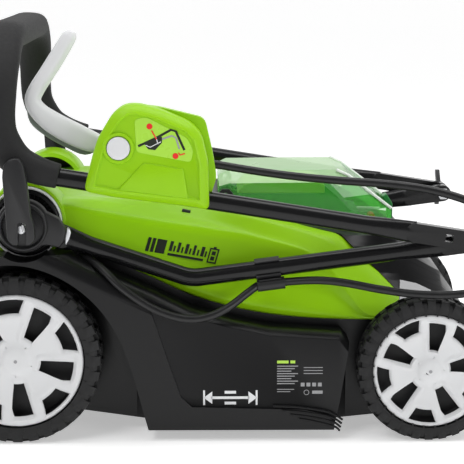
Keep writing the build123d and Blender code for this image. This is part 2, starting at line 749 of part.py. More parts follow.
for name, side in SIDES.items():
    y = side * lower_tube_y
    taper_start = between(mid_joint, lower_bend, 92)
    taper_end = between(mid_joint, lower_bend, 40)
    root_flat = between(pivot, lower_bend, 40)
    root_round = between(pivot, lower_bend, 70)
    with BuildPart() as lower_tube:
        with BuildLine():
            FilletPolyline(
                (rear_x + root_round[0], y, root_round[1]),
                (rear_x + lower_bend[0], y, lower_bend[1]),
                (rear_x + taper_start[0], y, taper_start[1]),
                radius=45,
            )
        with BuildSketch(section_plane(root_round, lower_bend, y)):
            Circle(tube_diameter / 2)
        sweep()
        # Ends pressed flat for the bolts
        with BuildSketch(section_plane(taper_start, mid_joint, y)):
            Circle(tube_diameter / 2)
        with BuildSketch(section_plane(taper_end, mid_joint, y)):
            Ellipse(flat_height / 2, flat_thickness / 2)
        loft()
        with BuildSketch(along(taper_end, mid_joint, y)):
            SlotCenterPoint((20, 0), (40, 0), flat_height - 3)
        extrude(amount=flat_thickness / 2, both=True)
        with BuildSketch(section_plane(root_round, lower_bend, y)):
            Circle(tube_diameter / 2)
        with BuildSketch(section_plane(root_flat, lower_bend, y)):
            Ellipse(13, 5.5)
        loft()
        with BuildSketch(along(pivot, lower_bend, y)):
            SlotCenterPoint((20, 0), (0, 0), 24)
        extrude(amount=5.5, both=True)
        with BuildSketch(side_plane(y)):
            with Locations(pivot, mid_joint):
                Circle(bolt_diameter / 2)
        extrude(amount=20, both=True, mode=Mode.SUBTRACT)
    save(lower_tube.part, f"lower_tube_{name}")

    y = side * upper_tube_y
    taper_start = between(mid_joint, upper_rear, 130)
    taper_end = between(mid_joint, upper_rear, 78)
    with BuildPart() as upper_tube:
        with BuildSketch(section_plane(upper_rear, mid_joint, y)):
            Circle(tube_diameter / 2)
        extrude(amount=reach(upper_rear, taper_start))
        with BuildSketch(section_plane(taper_start, mid_joint, y)):
            Circle(tube_diameter / 2)
        with BuildSketch(section_plane(taper_end, mid_joint, y)):
            Ellipse(flat_height / 2, flat_thickness / 2)
        loft()
        with BuildSketch(along(taper_end, mid_joint, y)):
            SlotCenterPoint((39, 0), (78, 0), flat_height - 3)
        extrude(amount=flat_thickness / 2, both=True)
        with BuildSketch(side_plane(y)):
            with Locations(mid_joint):
                Circle(bolt_diameter / 2 + running_gap)
        extrude(amount=20, both=True, mode=Mode.SUBTRACT)
        with BuildSketch(side_plane(y)):
            with Locations(spare_hole):
                Rectangle(8, 8, rotation=-9)
        extrude(amount=20, both=True, mode=Mode.SUBTRACT)
    save(upper_tube.part, f"upper_tube_{name}")

    # Round knuckle cap over the tube's flat root
    with BuildPart() as knuckle:
        with BuildSketch(side_plane(side * (lower_tube_y + 5.5))):
            with Locations(pivot):
                Circle(knuckle_radius)
        extrude(amount=-side * 11.5)
        with BuildSketch(side_plane(side * (lower_tube_y + 17))):
            with Locations(pivot):
                Circle(24)
        extrude(amount=-side * 6)
        with BuildSketch(side_plane(side * (lower_tube_y + 14))):
            with Locations(pivot):
                Circle(21)
                Circle(14, mode=Mode.SUBTRACT)
        extrude(amount=-side * 12, mode=Mode.SUBTRACT)
        with BuildSketch(side_plane(side * lower_tube_y)):
            with Locations(pivot):
                Circle(bolt_diameter / 2)
        extrude(amount=-side * 40, mode=Mode.SUBTRACT)
    save(knuckle.part, f"knuckle_{name}")

    # Cam lever, upright beside the grip, on a cross pin through the bolt's end
    with BuildPart() as lever:
        cheek = Plane(
            origin=(rear_x + pivot[0], side * lever_y, pivot[1]), x_dir=(0, side, 0), z_dir=(side, 0, 0)
        )
        with BuildSketch(cheek):
            Circle(8.2)
            with BuildLine():
                Polyline((0, 0), (3.5, 10), (4, 24), (6.5, 76), (9, 78), (12.5, 72), (11.5, 20), (8.2, 0),
                         close=True)
            make_face()
        extrude(amount=11, both=True)
        with BuildSketch(cheek):
            with BuildLine():
                Polyline((-9, -9), (-9, 9), (20, 9), (20, -9), close=True)
            make_face()
        extrude(amount=bolt_diameter / 2 + 0.4, both=True, mode=Mode.SUBTRACT)
        with BuildSketch(cheek):
            Circle(lever_pin_radius + running_gap)
        extrude(amount=12, both=True, mode=Mode.SUBTRACT)
    save(lever.part, f"cam_lever_{name}")

    with BuildPart() as wing_nut:
        with BuildSketch(side_plane(side * 190)):
            with Locations(mid_joint):
                Circle(9.5)
        extrude(amount=-side * 10)
        wing = Plane(
            origin=(rear_x + mid_joint[0], 0, mid_joint[1]), x_dir=(0, side, 0), z_dir=(1, 0, 0)
        )
        with BuildSketch(wing):
            with BuildLine():
                Polyline((191, -9), (191, 9), (198, 11), (208, 22), (widest_y, 22), (widest_y, 17),
                         (206, 8), (204, 0), (206, -8), (widest_y, -17), (widest_y, -22), (208, -22),
                         (198, -11), close=True)
            make_face()
        extrude(amount=2.5, both=True)
        with BuildSketch(side_plane(side * 189)):
            with Locations(mid_joint):
                Circle(bolt_diameter / 2 + running_gap)
        extrude(amount=-side * 13, mode=Mode.SUBTRACT)
    save(wing_nut.part, f"wing_nut_{name}")

with BuildPart() as clamp_bolts:
    for side in SIDES.values():
        # Pivot bolt with its cross pin for the cam lever
        with BuildSketch(side_plane(side * 140.5)):
            with Locations(pivot):
                RegularPolygon(7.5, 6)
        extrude(amount=-side * 6)
        with BuildSketch(side_plane(side * 140.5)):
            with Locations(pivot):
                Circle(bolt_diameter / 2)
        extrude(amount=-side * 59)
        with BuildSketch(Plane(origin=(rear_x + pivot[0], side * lever_y, pivot[1]), z_dir=(1, 0, 0))):
            Circle(lever_pin_radius)
        extrude(amount=10.5, both=True)
        # Bolt of the middle joint, with the collar between the tubes
        with BuildSketch(side_plane(side * (lower_tube_y - flat_thickness / 2 - 6))):
            with Locations(mid_joint):
                RegularPolygon(7.5, 6)
        extrude(amount=-side * 6)
        with BuildSketch(side_plane(side * (lower_tube_y - flat_thickness / 2))):
            with Locations(mid_joint):
                Circle(bolt_diameter / 2)
        extrude(amount=-side * 44)
        with BuildSketch(side_plane(side * (lower_tube_y + flat_thickness / 2))):
            with Locations(mid_joint):
                Circle(8.5)
        extrude(amount=-side * (upper_tube_y - lower_tube_y - flat_thickness - 0.4))
save(clamp_bolts.part, "clamp_bolts")

# ---------------------------------------------------------------- grip loop
grip_y = upper_tube_y
grip_radius = 14.5
GRIP = (
    (46, -grip_y, 280.2), (-13, -grip_y, 289.5), (-8, -grip_y, 421),
    (-8, grip_y, 421), (-13, grip_y, 289.5), (46, grip_y, 280.2),
)
with BuildPart() as grip_loop:
    with BuildLine():
        FilletPolyline(*[(rear_x + x, y, z) for x, y, z in GRIP], radius=(28, 80, 80, 28))
    with BuildSketch(section_plane((46, 280.2), (-13, 289.5), -grip_y)):
        Circle(grip_radius)
    sweep()
    for side in SIDES.values():
        with BuildSketch(section_plane(upper_rear, mid_joint, side * grip_y)):
            Circle(tube_diameter / 2)
        extrude(amount=60, mode=Mode.SUBTRACT)
save(grip_loop.part, "grip_loop")

# ---------------------------------------------------------------- switch box
box_outer_face = -209.5
box_split = -upper_tube_y
box_inner_face = -167.5
box_wall = 3.0
bail_pivot = (109.0, 311.0)
button_place = (168.0, 322.0)
BOX = ((73, 266), (81, 305), (95, 326), (109, 344), (121, 355), (133, 356), (157, 350), (178, 342),
       (190, 333), (196, 318), (200, 289), (200, 247), (194, 246), (183, 249), (103, 260))
tube_bore = section_plane(upper_rear, mid_joint, -upper_tube_y)

with BuildPart() as switch_box_outer:
    with BuildSketch(side_plane(box_split - 0.2)):
        with BuildLine():
            Polyline(*BOX, close=True)
        make_face()
    extrude(amount=-box_outer_face + box_split - 0.2)
    rim = switch_box_outer.faces().sort_by(Axis.Y)[0].edges()
    fillet(rim, radius=5)
    with BuildSketch(side_plane(box_split)):
        with BuildLine():
            Polyline(*BOX, close=True)
        make_face()
        offset(amount=-box_wall, mode=Mode.REPLACE)
    extrude(amount=-box_outer_face + box_split - 3.5, mode=Mode.SUBTRACT)
    with BuildSketch(tube_bore):
        Circle(tube_diameter / 2)
    extrude(amount=260, mode=Mode.SUBTRACT)
    with BuildSketch(side_plane(0)):
        with Locations(bail_pivot):
            Circle(4)
    extrude(amount=230, mode=Mode.SUBTRACT)
save(switch_box_outer.part, "switch_box_outer")

with BuildPart() as switch_box_inner:
    with BuildSketch(side_plane(box_inner_face)):
        with BuildLine():
            Polyline(*[(x + 7 if x > 150 else x, z + 3 if z > 330 else z) for x, z in BOX], close=True)
        make_face()
    extrude(amount=box_inner_face - box_split - 0.2)
    fillet(switch_box_inner.faces().sort_by(Axis.Y)[-1].edges(), radius=3)
    with BuildSketch(side_plane(box_inner_face - 3)):
        with BuildLine():
            Polyline(*BOX, close=True)
        make_face()
        offset(amount=-3.5, mode=Mode.REPLACE)
    extrude(amount=30, mode=Mode.SUBTRACT)
    with BuildSketch(tube_bore):
        Circle(tube_diameter / 2)
    extrude(amount=260, mode=Mode.SUBTRACT)
    with BuildSketch(side_plane(0)):
        with Locations(bail_pivot):
            Circle(4)
    extrude(amount=230, mode=Mode.SUBTRACT)
    with BuildSketch(side_plane(0)):
        with Locations(button_place):
            Circle(7.5 + running_gap)
    extrude(amount=180, mode=Mode.SUBTRACT)
    # Boss that grips the cable
    with BuildSketch(section_plane(CABLE_UPPER[0][::2], CABLE_UPPER[1][::2], CABLE_UPPER[0][1])):
        Circle(6.5)
    extrude(amount=-9)
save(switch_box_inner.part, "switch_box_inner")

with BuildPart() as switch_unit:
    with BuildSketch(side_plane(-194)):
        with Locations((160, 306)):
            Rectangle(40, 28)
    extrude(amount=11)
save(switch_unit.part, "switch_unit")

with BuildPart() as start_button:
    with BuildSketch(side_plane(-182)):
        with Locations(button_place):
            Circle(7.5)
    extrude(amount=-20.5)
    fillet(start_button.edges().group_by(Axis.Y)[-1], radius=1.5)
save(start_button.part, "start_button")

bail_arm_y = 158.0
bail_pin_radius = 4.0
bail_radius = 7.0
with BuildPart() as bail_pin:
    with BuildSketch(side_plane(-151)):
        with Locations(bail_pivot):
            Circle(bail_pin_radius)
    extrude(amount=-box_outer_face - 151)
    with BuildSketch(side_plane(box_outer_face)):
        with Locations(bail_pivot):
            Circle(11.5)
    extrude(amount=3)
    fillet(bail_pin.edges().group_by(Axis.Y)[0], radius=1.2)
save(bail_pin.part, "bail_pin")

BAIL = ((109, -bail_arm_y, 311), (10, -bail_arm_y, 352), (58, -bail_arm_y, 424), (58, -140, 424))
with BuildPart() as bail_lever:
    with BuildLine():
        FilletPolyline(*[(rear_x + x, y, z) for x, y, z in BAIL], radius=(18, 14))
    with BuildSketch(section_plane(BAIL[0][::2], BAIL[1][::2], -bail_arm_y)):
        Circle(bail_radius)
    sweep()
    with BuildSketch(side_plane(8.5 - bail_arm_y)):
        with Locations(bail_pivot):
            Circle(11)
    extrude(amount=17.5)
    with BuildSketch(side_plane(-140)):
        with Locations(bail_pivot):
            Circle(bail_pin_radius + running_gap)
    extrude(amount=40, mode=Mode.SUBTRACT)
save(bail_lever.part, "bail_lever")

# ---------------------------------------------------------------- cable, clip and gland
with BuildPart() as cable_clip:
    clip_plane = section_plane(between(lower_bend, mid_joint, clip_start), mid_joint, -lower_tube_y)
    with BuildSketch(clip_plane):
        RectangleRounded(25, 25, 3)
        with Locations((-15.8, 5)):
            Circle(7)
        Circle(tube_diameter / 2, mode=Mode.SUBTRACT)
    extrude(amount=clip_length)
save(cable_clip.part, "cable_clip")

with BuildPart() as cable_gland:
    with BuildSketch(cable_port):
        Circle(port_radius)
    extrude(amount=9)
save(cable_gland.part, "cable_gland")


def corner_radii(points, share=0.45):
    """The radius of each corner, as large as its two runs allow."""
    radii = []
    for before, at, after in zip(points, points[1:], points[2:]):
        first = Vector(*at) - Vector(*before)
        second = Vector(*after) - Vector(*at)
        half_turn = math.radians(first.get_angle(second) / 2)
        radii.append(share * min(first.length, second.length) / math.tan(half_turn))
    return radii


for name, route in (("cable_upper", CABLE_UPPER), ("cable_lower", CABLE_LOWER)):
    placed = [(rear_x + x, y, z) for x, y, z in route]
    radii = corner_radii(placed)
    with BuildPart() as cable:
        with BuildLine() as path:
            FilletPolyline(*placed, radius=radii)
        with BuildSketch(Plane(origin=path.wires()[0] @ 0, z_dir=path.wires()[0] % 0)):
            Circle(cable_diameter / 2)
        sweep()
    save(cable.part, name)
    length = path.wires()[0].length
    print(name, "length", round(length), "radii", [round(r) for r in radii],
          "filled", round(cable.part.volume / (length * math.pi * cable_diameter**2 / 4), 4))
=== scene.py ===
import json
import math

import bmesh
import bpy
from mathutils import Vector
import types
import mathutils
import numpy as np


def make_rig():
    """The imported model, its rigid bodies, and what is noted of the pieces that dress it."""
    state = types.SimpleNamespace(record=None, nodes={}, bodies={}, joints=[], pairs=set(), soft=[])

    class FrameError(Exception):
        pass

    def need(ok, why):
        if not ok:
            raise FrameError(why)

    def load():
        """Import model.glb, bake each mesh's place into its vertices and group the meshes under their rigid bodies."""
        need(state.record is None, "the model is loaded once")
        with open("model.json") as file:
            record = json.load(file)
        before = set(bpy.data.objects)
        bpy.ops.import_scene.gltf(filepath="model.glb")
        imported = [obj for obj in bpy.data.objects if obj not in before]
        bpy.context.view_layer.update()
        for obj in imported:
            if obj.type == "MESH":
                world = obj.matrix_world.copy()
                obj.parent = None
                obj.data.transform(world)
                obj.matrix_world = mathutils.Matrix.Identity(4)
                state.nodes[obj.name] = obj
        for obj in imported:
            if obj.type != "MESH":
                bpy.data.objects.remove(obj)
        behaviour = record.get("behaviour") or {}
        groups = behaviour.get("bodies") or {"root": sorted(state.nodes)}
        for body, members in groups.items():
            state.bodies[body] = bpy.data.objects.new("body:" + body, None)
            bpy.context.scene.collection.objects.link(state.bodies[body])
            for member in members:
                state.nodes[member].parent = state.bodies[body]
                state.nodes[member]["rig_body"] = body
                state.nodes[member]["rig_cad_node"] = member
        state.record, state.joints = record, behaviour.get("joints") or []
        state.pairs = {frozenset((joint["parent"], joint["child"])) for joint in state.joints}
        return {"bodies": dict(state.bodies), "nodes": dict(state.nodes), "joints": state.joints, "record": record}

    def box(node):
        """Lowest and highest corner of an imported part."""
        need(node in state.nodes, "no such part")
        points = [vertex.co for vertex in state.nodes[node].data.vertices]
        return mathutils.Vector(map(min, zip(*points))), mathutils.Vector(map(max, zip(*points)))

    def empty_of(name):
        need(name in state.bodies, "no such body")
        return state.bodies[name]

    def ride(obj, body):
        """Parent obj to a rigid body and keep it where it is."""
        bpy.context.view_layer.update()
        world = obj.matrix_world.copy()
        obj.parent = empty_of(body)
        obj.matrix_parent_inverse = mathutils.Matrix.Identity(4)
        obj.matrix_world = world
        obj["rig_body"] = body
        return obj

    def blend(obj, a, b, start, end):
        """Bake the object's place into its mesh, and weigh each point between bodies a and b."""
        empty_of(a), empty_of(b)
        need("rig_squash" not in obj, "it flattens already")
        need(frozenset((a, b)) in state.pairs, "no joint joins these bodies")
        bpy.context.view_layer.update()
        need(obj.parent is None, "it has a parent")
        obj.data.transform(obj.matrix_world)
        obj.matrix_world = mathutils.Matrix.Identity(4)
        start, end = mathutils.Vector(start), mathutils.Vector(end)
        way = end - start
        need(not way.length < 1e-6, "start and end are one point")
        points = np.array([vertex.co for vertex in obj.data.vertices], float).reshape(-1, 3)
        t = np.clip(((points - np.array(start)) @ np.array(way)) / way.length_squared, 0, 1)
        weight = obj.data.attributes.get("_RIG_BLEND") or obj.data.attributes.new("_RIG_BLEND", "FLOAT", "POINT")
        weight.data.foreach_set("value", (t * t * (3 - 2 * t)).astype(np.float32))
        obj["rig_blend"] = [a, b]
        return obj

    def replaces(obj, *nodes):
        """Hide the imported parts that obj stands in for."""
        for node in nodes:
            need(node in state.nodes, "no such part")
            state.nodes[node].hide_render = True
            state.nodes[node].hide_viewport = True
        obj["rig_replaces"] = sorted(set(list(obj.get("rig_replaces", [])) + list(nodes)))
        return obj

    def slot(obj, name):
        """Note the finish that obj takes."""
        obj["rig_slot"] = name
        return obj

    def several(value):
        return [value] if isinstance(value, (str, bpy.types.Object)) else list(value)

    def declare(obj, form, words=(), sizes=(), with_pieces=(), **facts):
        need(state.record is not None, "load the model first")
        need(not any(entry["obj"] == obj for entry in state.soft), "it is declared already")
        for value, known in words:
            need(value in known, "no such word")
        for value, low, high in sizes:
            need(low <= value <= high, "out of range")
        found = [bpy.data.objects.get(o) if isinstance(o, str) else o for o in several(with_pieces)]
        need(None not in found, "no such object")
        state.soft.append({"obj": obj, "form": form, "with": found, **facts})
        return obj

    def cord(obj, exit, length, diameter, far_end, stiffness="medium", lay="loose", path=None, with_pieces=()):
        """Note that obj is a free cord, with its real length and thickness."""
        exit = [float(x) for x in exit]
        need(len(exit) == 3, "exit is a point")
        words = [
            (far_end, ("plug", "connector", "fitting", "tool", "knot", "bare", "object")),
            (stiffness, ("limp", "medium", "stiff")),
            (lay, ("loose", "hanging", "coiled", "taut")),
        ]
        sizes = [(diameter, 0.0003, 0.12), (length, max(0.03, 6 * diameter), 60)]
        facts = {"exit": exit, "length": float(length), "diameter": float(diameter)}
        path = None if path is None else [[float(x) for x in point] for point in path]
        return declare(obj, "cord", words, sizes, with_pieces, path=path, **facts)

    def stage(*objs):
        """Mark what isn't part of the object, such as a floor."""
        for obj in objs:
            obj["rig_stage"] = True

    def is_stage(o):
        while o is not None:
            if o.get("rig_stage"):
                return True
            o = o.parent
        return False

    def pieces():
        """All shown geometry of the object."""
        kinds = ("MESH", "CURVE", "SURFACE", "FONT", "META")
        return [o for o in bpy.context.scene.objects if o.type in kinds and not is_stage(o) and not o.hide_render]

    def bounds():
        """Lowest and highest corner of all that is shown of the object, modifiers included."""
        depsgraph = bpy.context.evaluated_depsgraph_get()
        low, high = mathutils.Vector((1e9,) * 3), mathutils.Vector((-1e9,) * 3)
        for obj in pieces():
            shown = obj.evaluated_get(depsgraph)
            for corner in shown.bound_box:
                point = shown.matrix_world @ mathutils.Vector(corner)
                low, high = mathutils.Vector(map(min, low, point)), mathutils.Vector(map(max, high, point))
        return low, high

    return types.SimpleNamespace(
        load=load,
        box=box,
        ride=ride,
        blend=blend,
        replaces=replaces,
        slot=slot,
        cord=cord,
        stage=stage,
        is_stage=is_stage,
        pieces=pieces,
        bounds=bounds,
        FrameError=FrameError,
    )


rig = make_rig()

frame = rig.load()
cad_box = [list(corner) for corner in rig.bounds()]
nodes = frame["nodes"]
record = frame["record"]
BODY_OF = {node: body for body, members in record["behaviour"]["bodies"].items() for node in members}
SLOT_OF = {part["node"]: part["material_slot"] for part in record["subparts"]}
SIDES = {"right": -1, "left": 1}

# The rear axle's place, from which the drawing measures everything. Its sizes are millimetres.
rear_low, rear_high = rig.box("rear_tyre_right")
axle_x = (rear_low.x + rear_high.x) / 2
MM = 0.001


def at(x, y, z):
    """A point x mm forward of the rear axle, y mm to the left and z mm up, in metres."""
    return Vector((axle_x + x * MM, y * MM, z * MM))


def link(obj):
    bpy.context.scene.collection.objects.link(obj)
    return obj


# ---------------------------------------------------------------- camera
CAMERA_PLACE = (-0.0035, -1.811, 0.516)
CAMERA_DOWN = 10.21
CAMERA_TURN = -0.66
FOCAL_LENGTH = 124.3


def make_camera():
    lens = bpy.data.cameras.new("camera")
    lens.lens = FOCAL_LENGTH
    lens.sensor_width = 36
    lens.clip_start = 0.05
    camera = link(bpy.data.objects.new("camera", lens))
    camera.location = CAMERA_PLACE
    camera.rotation_euler = (math.radians(90 - CAMERA_DOWN), 0, math.radians(CAMERA_TURN))
    bpy.context.scene.camera = camera


make_camera()

# ---------------------------------------------------------------- cables
CABLE_DIAMETER = 8.5
CABLE_UPPER = (
    (212, -172, 291), (240, -172, 286), (282, -173, 280), (332, -174, 275), (384, -177, 272), (434, -181, 266),
    (482, -186, 251), (518, -191, 226), (527, -194, 196), (508, -194, 170), (470, -191, 158), (424, -187, 156),
    (380, -182, 161), (338, -177, 169), (304, -172, 170), (277.8, -168.0, 166.4),
)
CABLE_LOWER = (
    (252.0, -168.0, 163.1), (240, -175, 156), (224, -186, 145), (206, -194, 137), (184, -198, 133),
    (162, -198, 137), (142, -196, 145), (124, -194, 156), (107, -191, 168.5), (92, -182, 182.5),
    (78.5, -168, 189.9), (66.5, -154.3, 193.6),
)


def cable_curve(name, route, radius):
    """The route as one smooth spline, a tube where radius isn't zero."""
    curve = bpy.data.curves.new(name, "CURVE")
    curve.dimensions = "3D"
    curve.bevel_depth = radius
    curve.bevel_resolution = 5
    curve.resolution_u = 10
    curve.use_fill_caps = radius > 0
    spline = curve.splines.new("NURBS")
    spline.points.add(len(route) - 1)
    for point, (x, y, z) in zip(spline.points, route):
        point.co = (*at(x, y, z), 1)
    spline.order_u = 3
    spline.use_endpoint_u = True
    return bpy.data.objects.new(name, curve)


def make_cable(name, route):
    """The cable's tube as a mesh, and the points that it follows."""
    tube = link(cable_curve(name + "_tube", route, CABLE_DIAMETER / 2 * MM))
    line = link(cable_curve(name + "_line", route, 0))
    bpy.context.view_layer.update()
    graph = bpy.context.evaluated_depsgraph_get()
    mesh = bpy.data.meshes.new_from_object(tube.evaluated_get(graph))
    path_mesh = bpy.data.meshes.new_from_object(line.evaluated_get(graph))
    path = [tuple(vertex.co) for vertex in path_mesh.vertices]
    bpy.data.objects.remove(tube)
    bpy.data.objects.remove(line)
    for polygon in mesh.polygons:
        polygon.use_smooth = True
    return link(bpy.data.objects.new(name, mesh)), path


def path_length(path):
    return sum((Vector(b) - Vector(a)).length for a, b in zip(path, path[1:]))


cable_upper_piece, cable_upper_path = make_cable("cable_box_to_clip", CABLE_UPPER)
cable_lower_piece, cable_lower_path = make_cable("cable_clip_to_deck", CABLE_LOWER)


# ---------------------------------------------------------------- materials
def noise(tree, coordinates, scale, detail=3.0):
    """A noise texture node over the object's own coordinates."""
    texture = tree.nodes.new("ShaderNodeTexNoise")
    texture.inputs["Scale"].default_value = scale
    texture.inputs["Detail"].default_value = detail
    tree.links.new(coordinates, texture.inputs["Vector"])
    return texture.outputs["Fac"]


def mapped(tree, value, low, high):
    """The value, from 0.3 to 0.7, spread over low to high."""
    spread = tree.nodes.new("ShaderNodeMapRange")
    spread.inputs["From Min"].default_value = 0.3
    spread.inputs["From Max"].default_value = 0.7
    spread.inputs["To Min"].default_value = low
    spread.inputs["To Max"].default_value = high
    tree.links.new(value, spread.inputs["Value"])
    return spread.outputs["Result"]


def finish(name, color, roughness=0.4, grain=900.0, relief=0.04, tint=0.05, vary=0.05, metallic=0.0,
           coat=0.0, stretch=(1, 1, 1), specular=0.35):
    """A procedural finish: its colour and roughness vary a little, over a fine moulded grain."""
    material = bpy.data.materials.new(name)
    material.use_nodes = True
    tree = material.node_tree
    shader = tree.nodes["Principled BSDF"]
    place = tree.nodes.new("ShaderNodeTexCoord")
    mapping = tree.nodes.new("ShaderNodeMapping")
    mapping.inputs["Scale"].default_value = stretch
    tree.links.new(place.outputs["Object"], mapping.inputs["Vector"])
    coordinates = mapping.outputs["Vector"]
    mix = tree.nodes.new("ShaderNodeMix")
    mix.data_type = "RGBA"
    mix.inputs["A"].default_value = (*[c * (1 - tint) for c in color], 1)
    mix.inputs["B"].default_value = (*[min(c * (1 + tint), 1) for c in color], 1)
    tree.links.new(noise(tree, coordinates, 14.0), mix.inputs["Factor"])
    tree.links.new(mix.outputs["Result"], shader.inputs["Base Color"])
    grain_value = noise(tree, coordinates, grain, 4.0)
    tree.links.new(
        mapped(tree, noise(tree, coordinates, grain / 6), roughness - vary, roughness + vary),
        shader.inputs["Roughness"],
    )
    bump = tree.nodes.new("ShaderNodeBump")
    bump.inputs["Strength"].default_value = relief
    bump.inputs["Distance"].default_value = 0.0004
    tree.links.new(grain_value, bump.inputs["Height"])
    tree.links.new(bump.outputs["Normal"], shader.inputs["Normal"])
    shader.inputs["Metallic"].default_value = metallic
    shader.inputs["Coat Weight"].default_value = coat
    shader.inputs["Specular IOR Level"].default_value = specular
    shader.inputs["Coat Roughness"].default_value = 0.12
    return material


def clear(name, color, roughness, cover):
    """A tinted, see-through moulding. Cover is the share of it that hides what is behind."""
    material = finish(name, color, roughness, 300.0, 0.02, 0.03, 0.03)
    material.node_tree.nodes["Principled BSDF"].inputs["Alpha"].default_value = cover
    return material


GREEN = (0.265, 0.54, 0.004)
BLACK = (0.0055, 0.0055, 0.006)
GREY = (0.64, 0.645, 0.655)
M = {
    "green": finish("moulded_green", GREEN, 0.36, 700, 0.03, 0.03, 0.04, specular=0.22),
    "black": finish("moulded_black", BLACK, 0.32, 1400, 0.03, 0.08, 0.03, specular=0.26),
    "black_matt": finish("moulded_black_matt", (0.02, 0.02, 0.021), 0.55, 900, 0.12, 0.08, 0.05),
    "trim_grey": finish("moulded_dark_grey", (0.018, 0.018, 0.019), 0.4, 1000, 0.05, 0.06, specular=0.3),
    "light_grey": finish("moulded_light_grey", GREY, 0.42, 900, 0.04, 0.02, 0.05),
    "tyre": finish("tyre_rubber", (0.013, 0.013, 0.0135), 0.62, 500, 0.2, 0.12, 0.06, specular=0.3),
    "tube": finish("black_powder_coat", (0.006, 0.006, 0.0065), 0.22, 1400, 0.03, 0.06, 0.03, specular=0.3),
    "foam": finish("grip_foam", (0.014, 0.014, 0.0145), 0.7, 1600, 0.3, 0.1, 0.05, specular=0.25),
    "cable": finish("cable_rubber", (0.01, 0.01, 0.0105), 0.36, 900, 0.04, 0.08, 0.04, specular=0.35),
    "steel": finish("zinc_plated_steel", (0.62, 0.63, 0.65), 0.32, 500, 0.05, 0.06, 0.08, metallic=1.0),
    "blade": finish("ground_blade_steel", (0.4, 0.41, 0.43), 0.38, 300, 0.12, 0.1, 0.1, 1.0, 0.0, (1, 12, 1)),
    "cast": finish("die_cast_aluminium", (0.5, 0.5, 0.52), 0.5, 700, 0.15, 0.08, 0.06, metallic=1.0),
    "battery": finish("battery_dark_green", (0.012, 0.16, 0.03), 0.4, 900, 0.08, 0.08),
    "latch": finish("latch_lime", (0.42, 0.68, 0.08), 0.35, 700, 0.03),
    "red": finish("signal_red", (0.7, 0.02, 0.01), 0.35, 700, 0.03),
    # Black for printing, and for the painted shade in the cover's slot
    "graphic_black": finish("printed_black_and_shade", (0.008, 0.012, 0.006), 0.4, 900, 0.02),
    "graphic_grey": finish("printed_grey", (0.3, 0.3, 0.31), 0.45, 900, 0.02),
    # White for printing, and for the painted highlight on the pivot bolts' ends
    "graphic_white": finish("printed_white_and_highlight", (0.75, 0.76, 0.77), 0.45, 900, 0.02),
    "sticker": finish("sticker_green", (0.36, 0.66, 0.05), 0.3, 700, 0.02, 0.02),
    # Lighter grey under a coat: a painted reflection on the hood's shoulders
    "gloss": finish("painted_hood_reflection", (0.13, 0.13, 0.135), 0.16, 900, 0.01, 0.03, 0.02, specular=0.6, coat=0.6),
    # Grey-green for the painted shade and painted green reflection under the bail's arm
    "web_grey": finish("painted_bail_shade", (0.16, 0.19, 0.16), 0.45, 900, 0.04, 0.03),
    "lid_side": clear("lid_side", (0.07, 0.48, 0.05), 0.1, 0.58),
    "lid_top": clear("lid_top", (0.46, 0.70, 0.38), 0.3, 0.66),
    # Near-white for the painted highlight along the lid's edges
    "lid_rim": clear("lid_rim", (0.85, 0.9, 0.84), 0.2, 0.9),
}


# ---------------------------------------------------------------- floor and light
FLOOR_REACH = 90
WHITE = (1, 1, 1, 1)
# Each light's name, place, aim, size and power
LIGHTS = (
    ("key", (-1.0, -1.5, 1.9), (0, 0, 0.15), (0.9, 0.9), 13),
    ("fill", (2.1, -1.9, 0.6), (0, 0, 0.12), (1.0, 0.8), 18),
    ("top", (0.0, -0.15, 1.5), (0, 0, 0.1), (2.2, 0.6), 15),
)


def make_stage():
    floor_mesh = bpy.data.meshes.new("floor")
    corners = [(x * FLOOR_REACH, y * FLOOR_REACH, 0) for x, y in ((-1, -1), (1, -1), (1, 1), (-1, 1))]
    floor_mesh.from_pydata(corners, [], [(0, 1, 2, 3)])
    floor = link(bpy.data.objects.new("floor", floor_mesh))
    white = bpy.data.materials.new("floor_white")
    white.use_nodes = True
    shader = white.node_tree.nodes["Principled BSDF"]
    shader.inputs["Base Color"].default_value = (0.95, 0.95, 0.95, 1)
    shader.inputs["Roughness"].default_value = 0.7
    shader.inputs["Emission Color"].default_value = WHITE
    shader.inputs["Emission Strength"].default_value = 0.42
    floor.data.materials.append(white)
    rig.stage(floor)
    world = bpy.data.worlds.new("studio")
    world.use_nodes = True
    tree = world.node_tree
    # Bright behind the mower and dimmer on the side that it is seen from
    place = tree.nodes.new("ShaderNodeTexCoord")
    split = tree.nodes.new("ShaderNodeSeparateXYZ")
    tree.links.new(place.outputs["Generated"], split.inputs["Vector"])
    spread = tree.nodes.new("ShaderNodeMapRange")
    for name, value in (("From Min", -0.6), ("From Max", 0.95), ("To Min", 0.16), ("To Max", 1.12)):
        spread.inputs[name].default_value = value
    tree.links.new(split.outputs["Y"], spread.inputs["Value"])
    tree.links.new(spread.outputs["Result"], tree.nodes["Background"].inputs["Strength"])
    tree.nodes["Background"].inputs["Color"].default_value = WHITE
    bpy.context.scene.world = world
    bpy.context.scene.view_settings.view_transform = "Standard"
    for name, place, aim, size, power in LIGHTS:
        light = bpy.data.lights.new(name, "AREA")
        light.shape = "RECTANGLE"
        light.size, light.size_y = size
        light.energy = power
        lamp = link(bpy.data.objects.new(name, light))
        lamp.location = place
        lamp.rotation_euler = (Vector(aim) - Vector(place)).to_track_quat("-Z", "Y").to_euler()


make_stage()

for piece, node, path, joined, start, end in (
    (cable_upper_piece, "cable_upper", cable_upper_path, ("upper_handle", "lower_handle"),
     at(520, -190, 262), at(520, -190, 178)),
    (cable_lower_piece, "cable_lower", cable_lower_path, ("lower_handle", "chassis"),
     at(225, -190, 150), at(85, -190, 150)),
):
    piece.data.materials.clear()
    piece.data.materials.append(M["cable"])
    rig.blend(piece, *joined, start=start, end=end)
    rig.replaces(piece, node)
    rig.slot(piece, "cable")
    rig.cord(piece, exit=path[0], length=path_length(path), diameter=CABLE_DIAMETER * MM, far_end="object",
            stiffness="medium", lay="hanging", path=path)

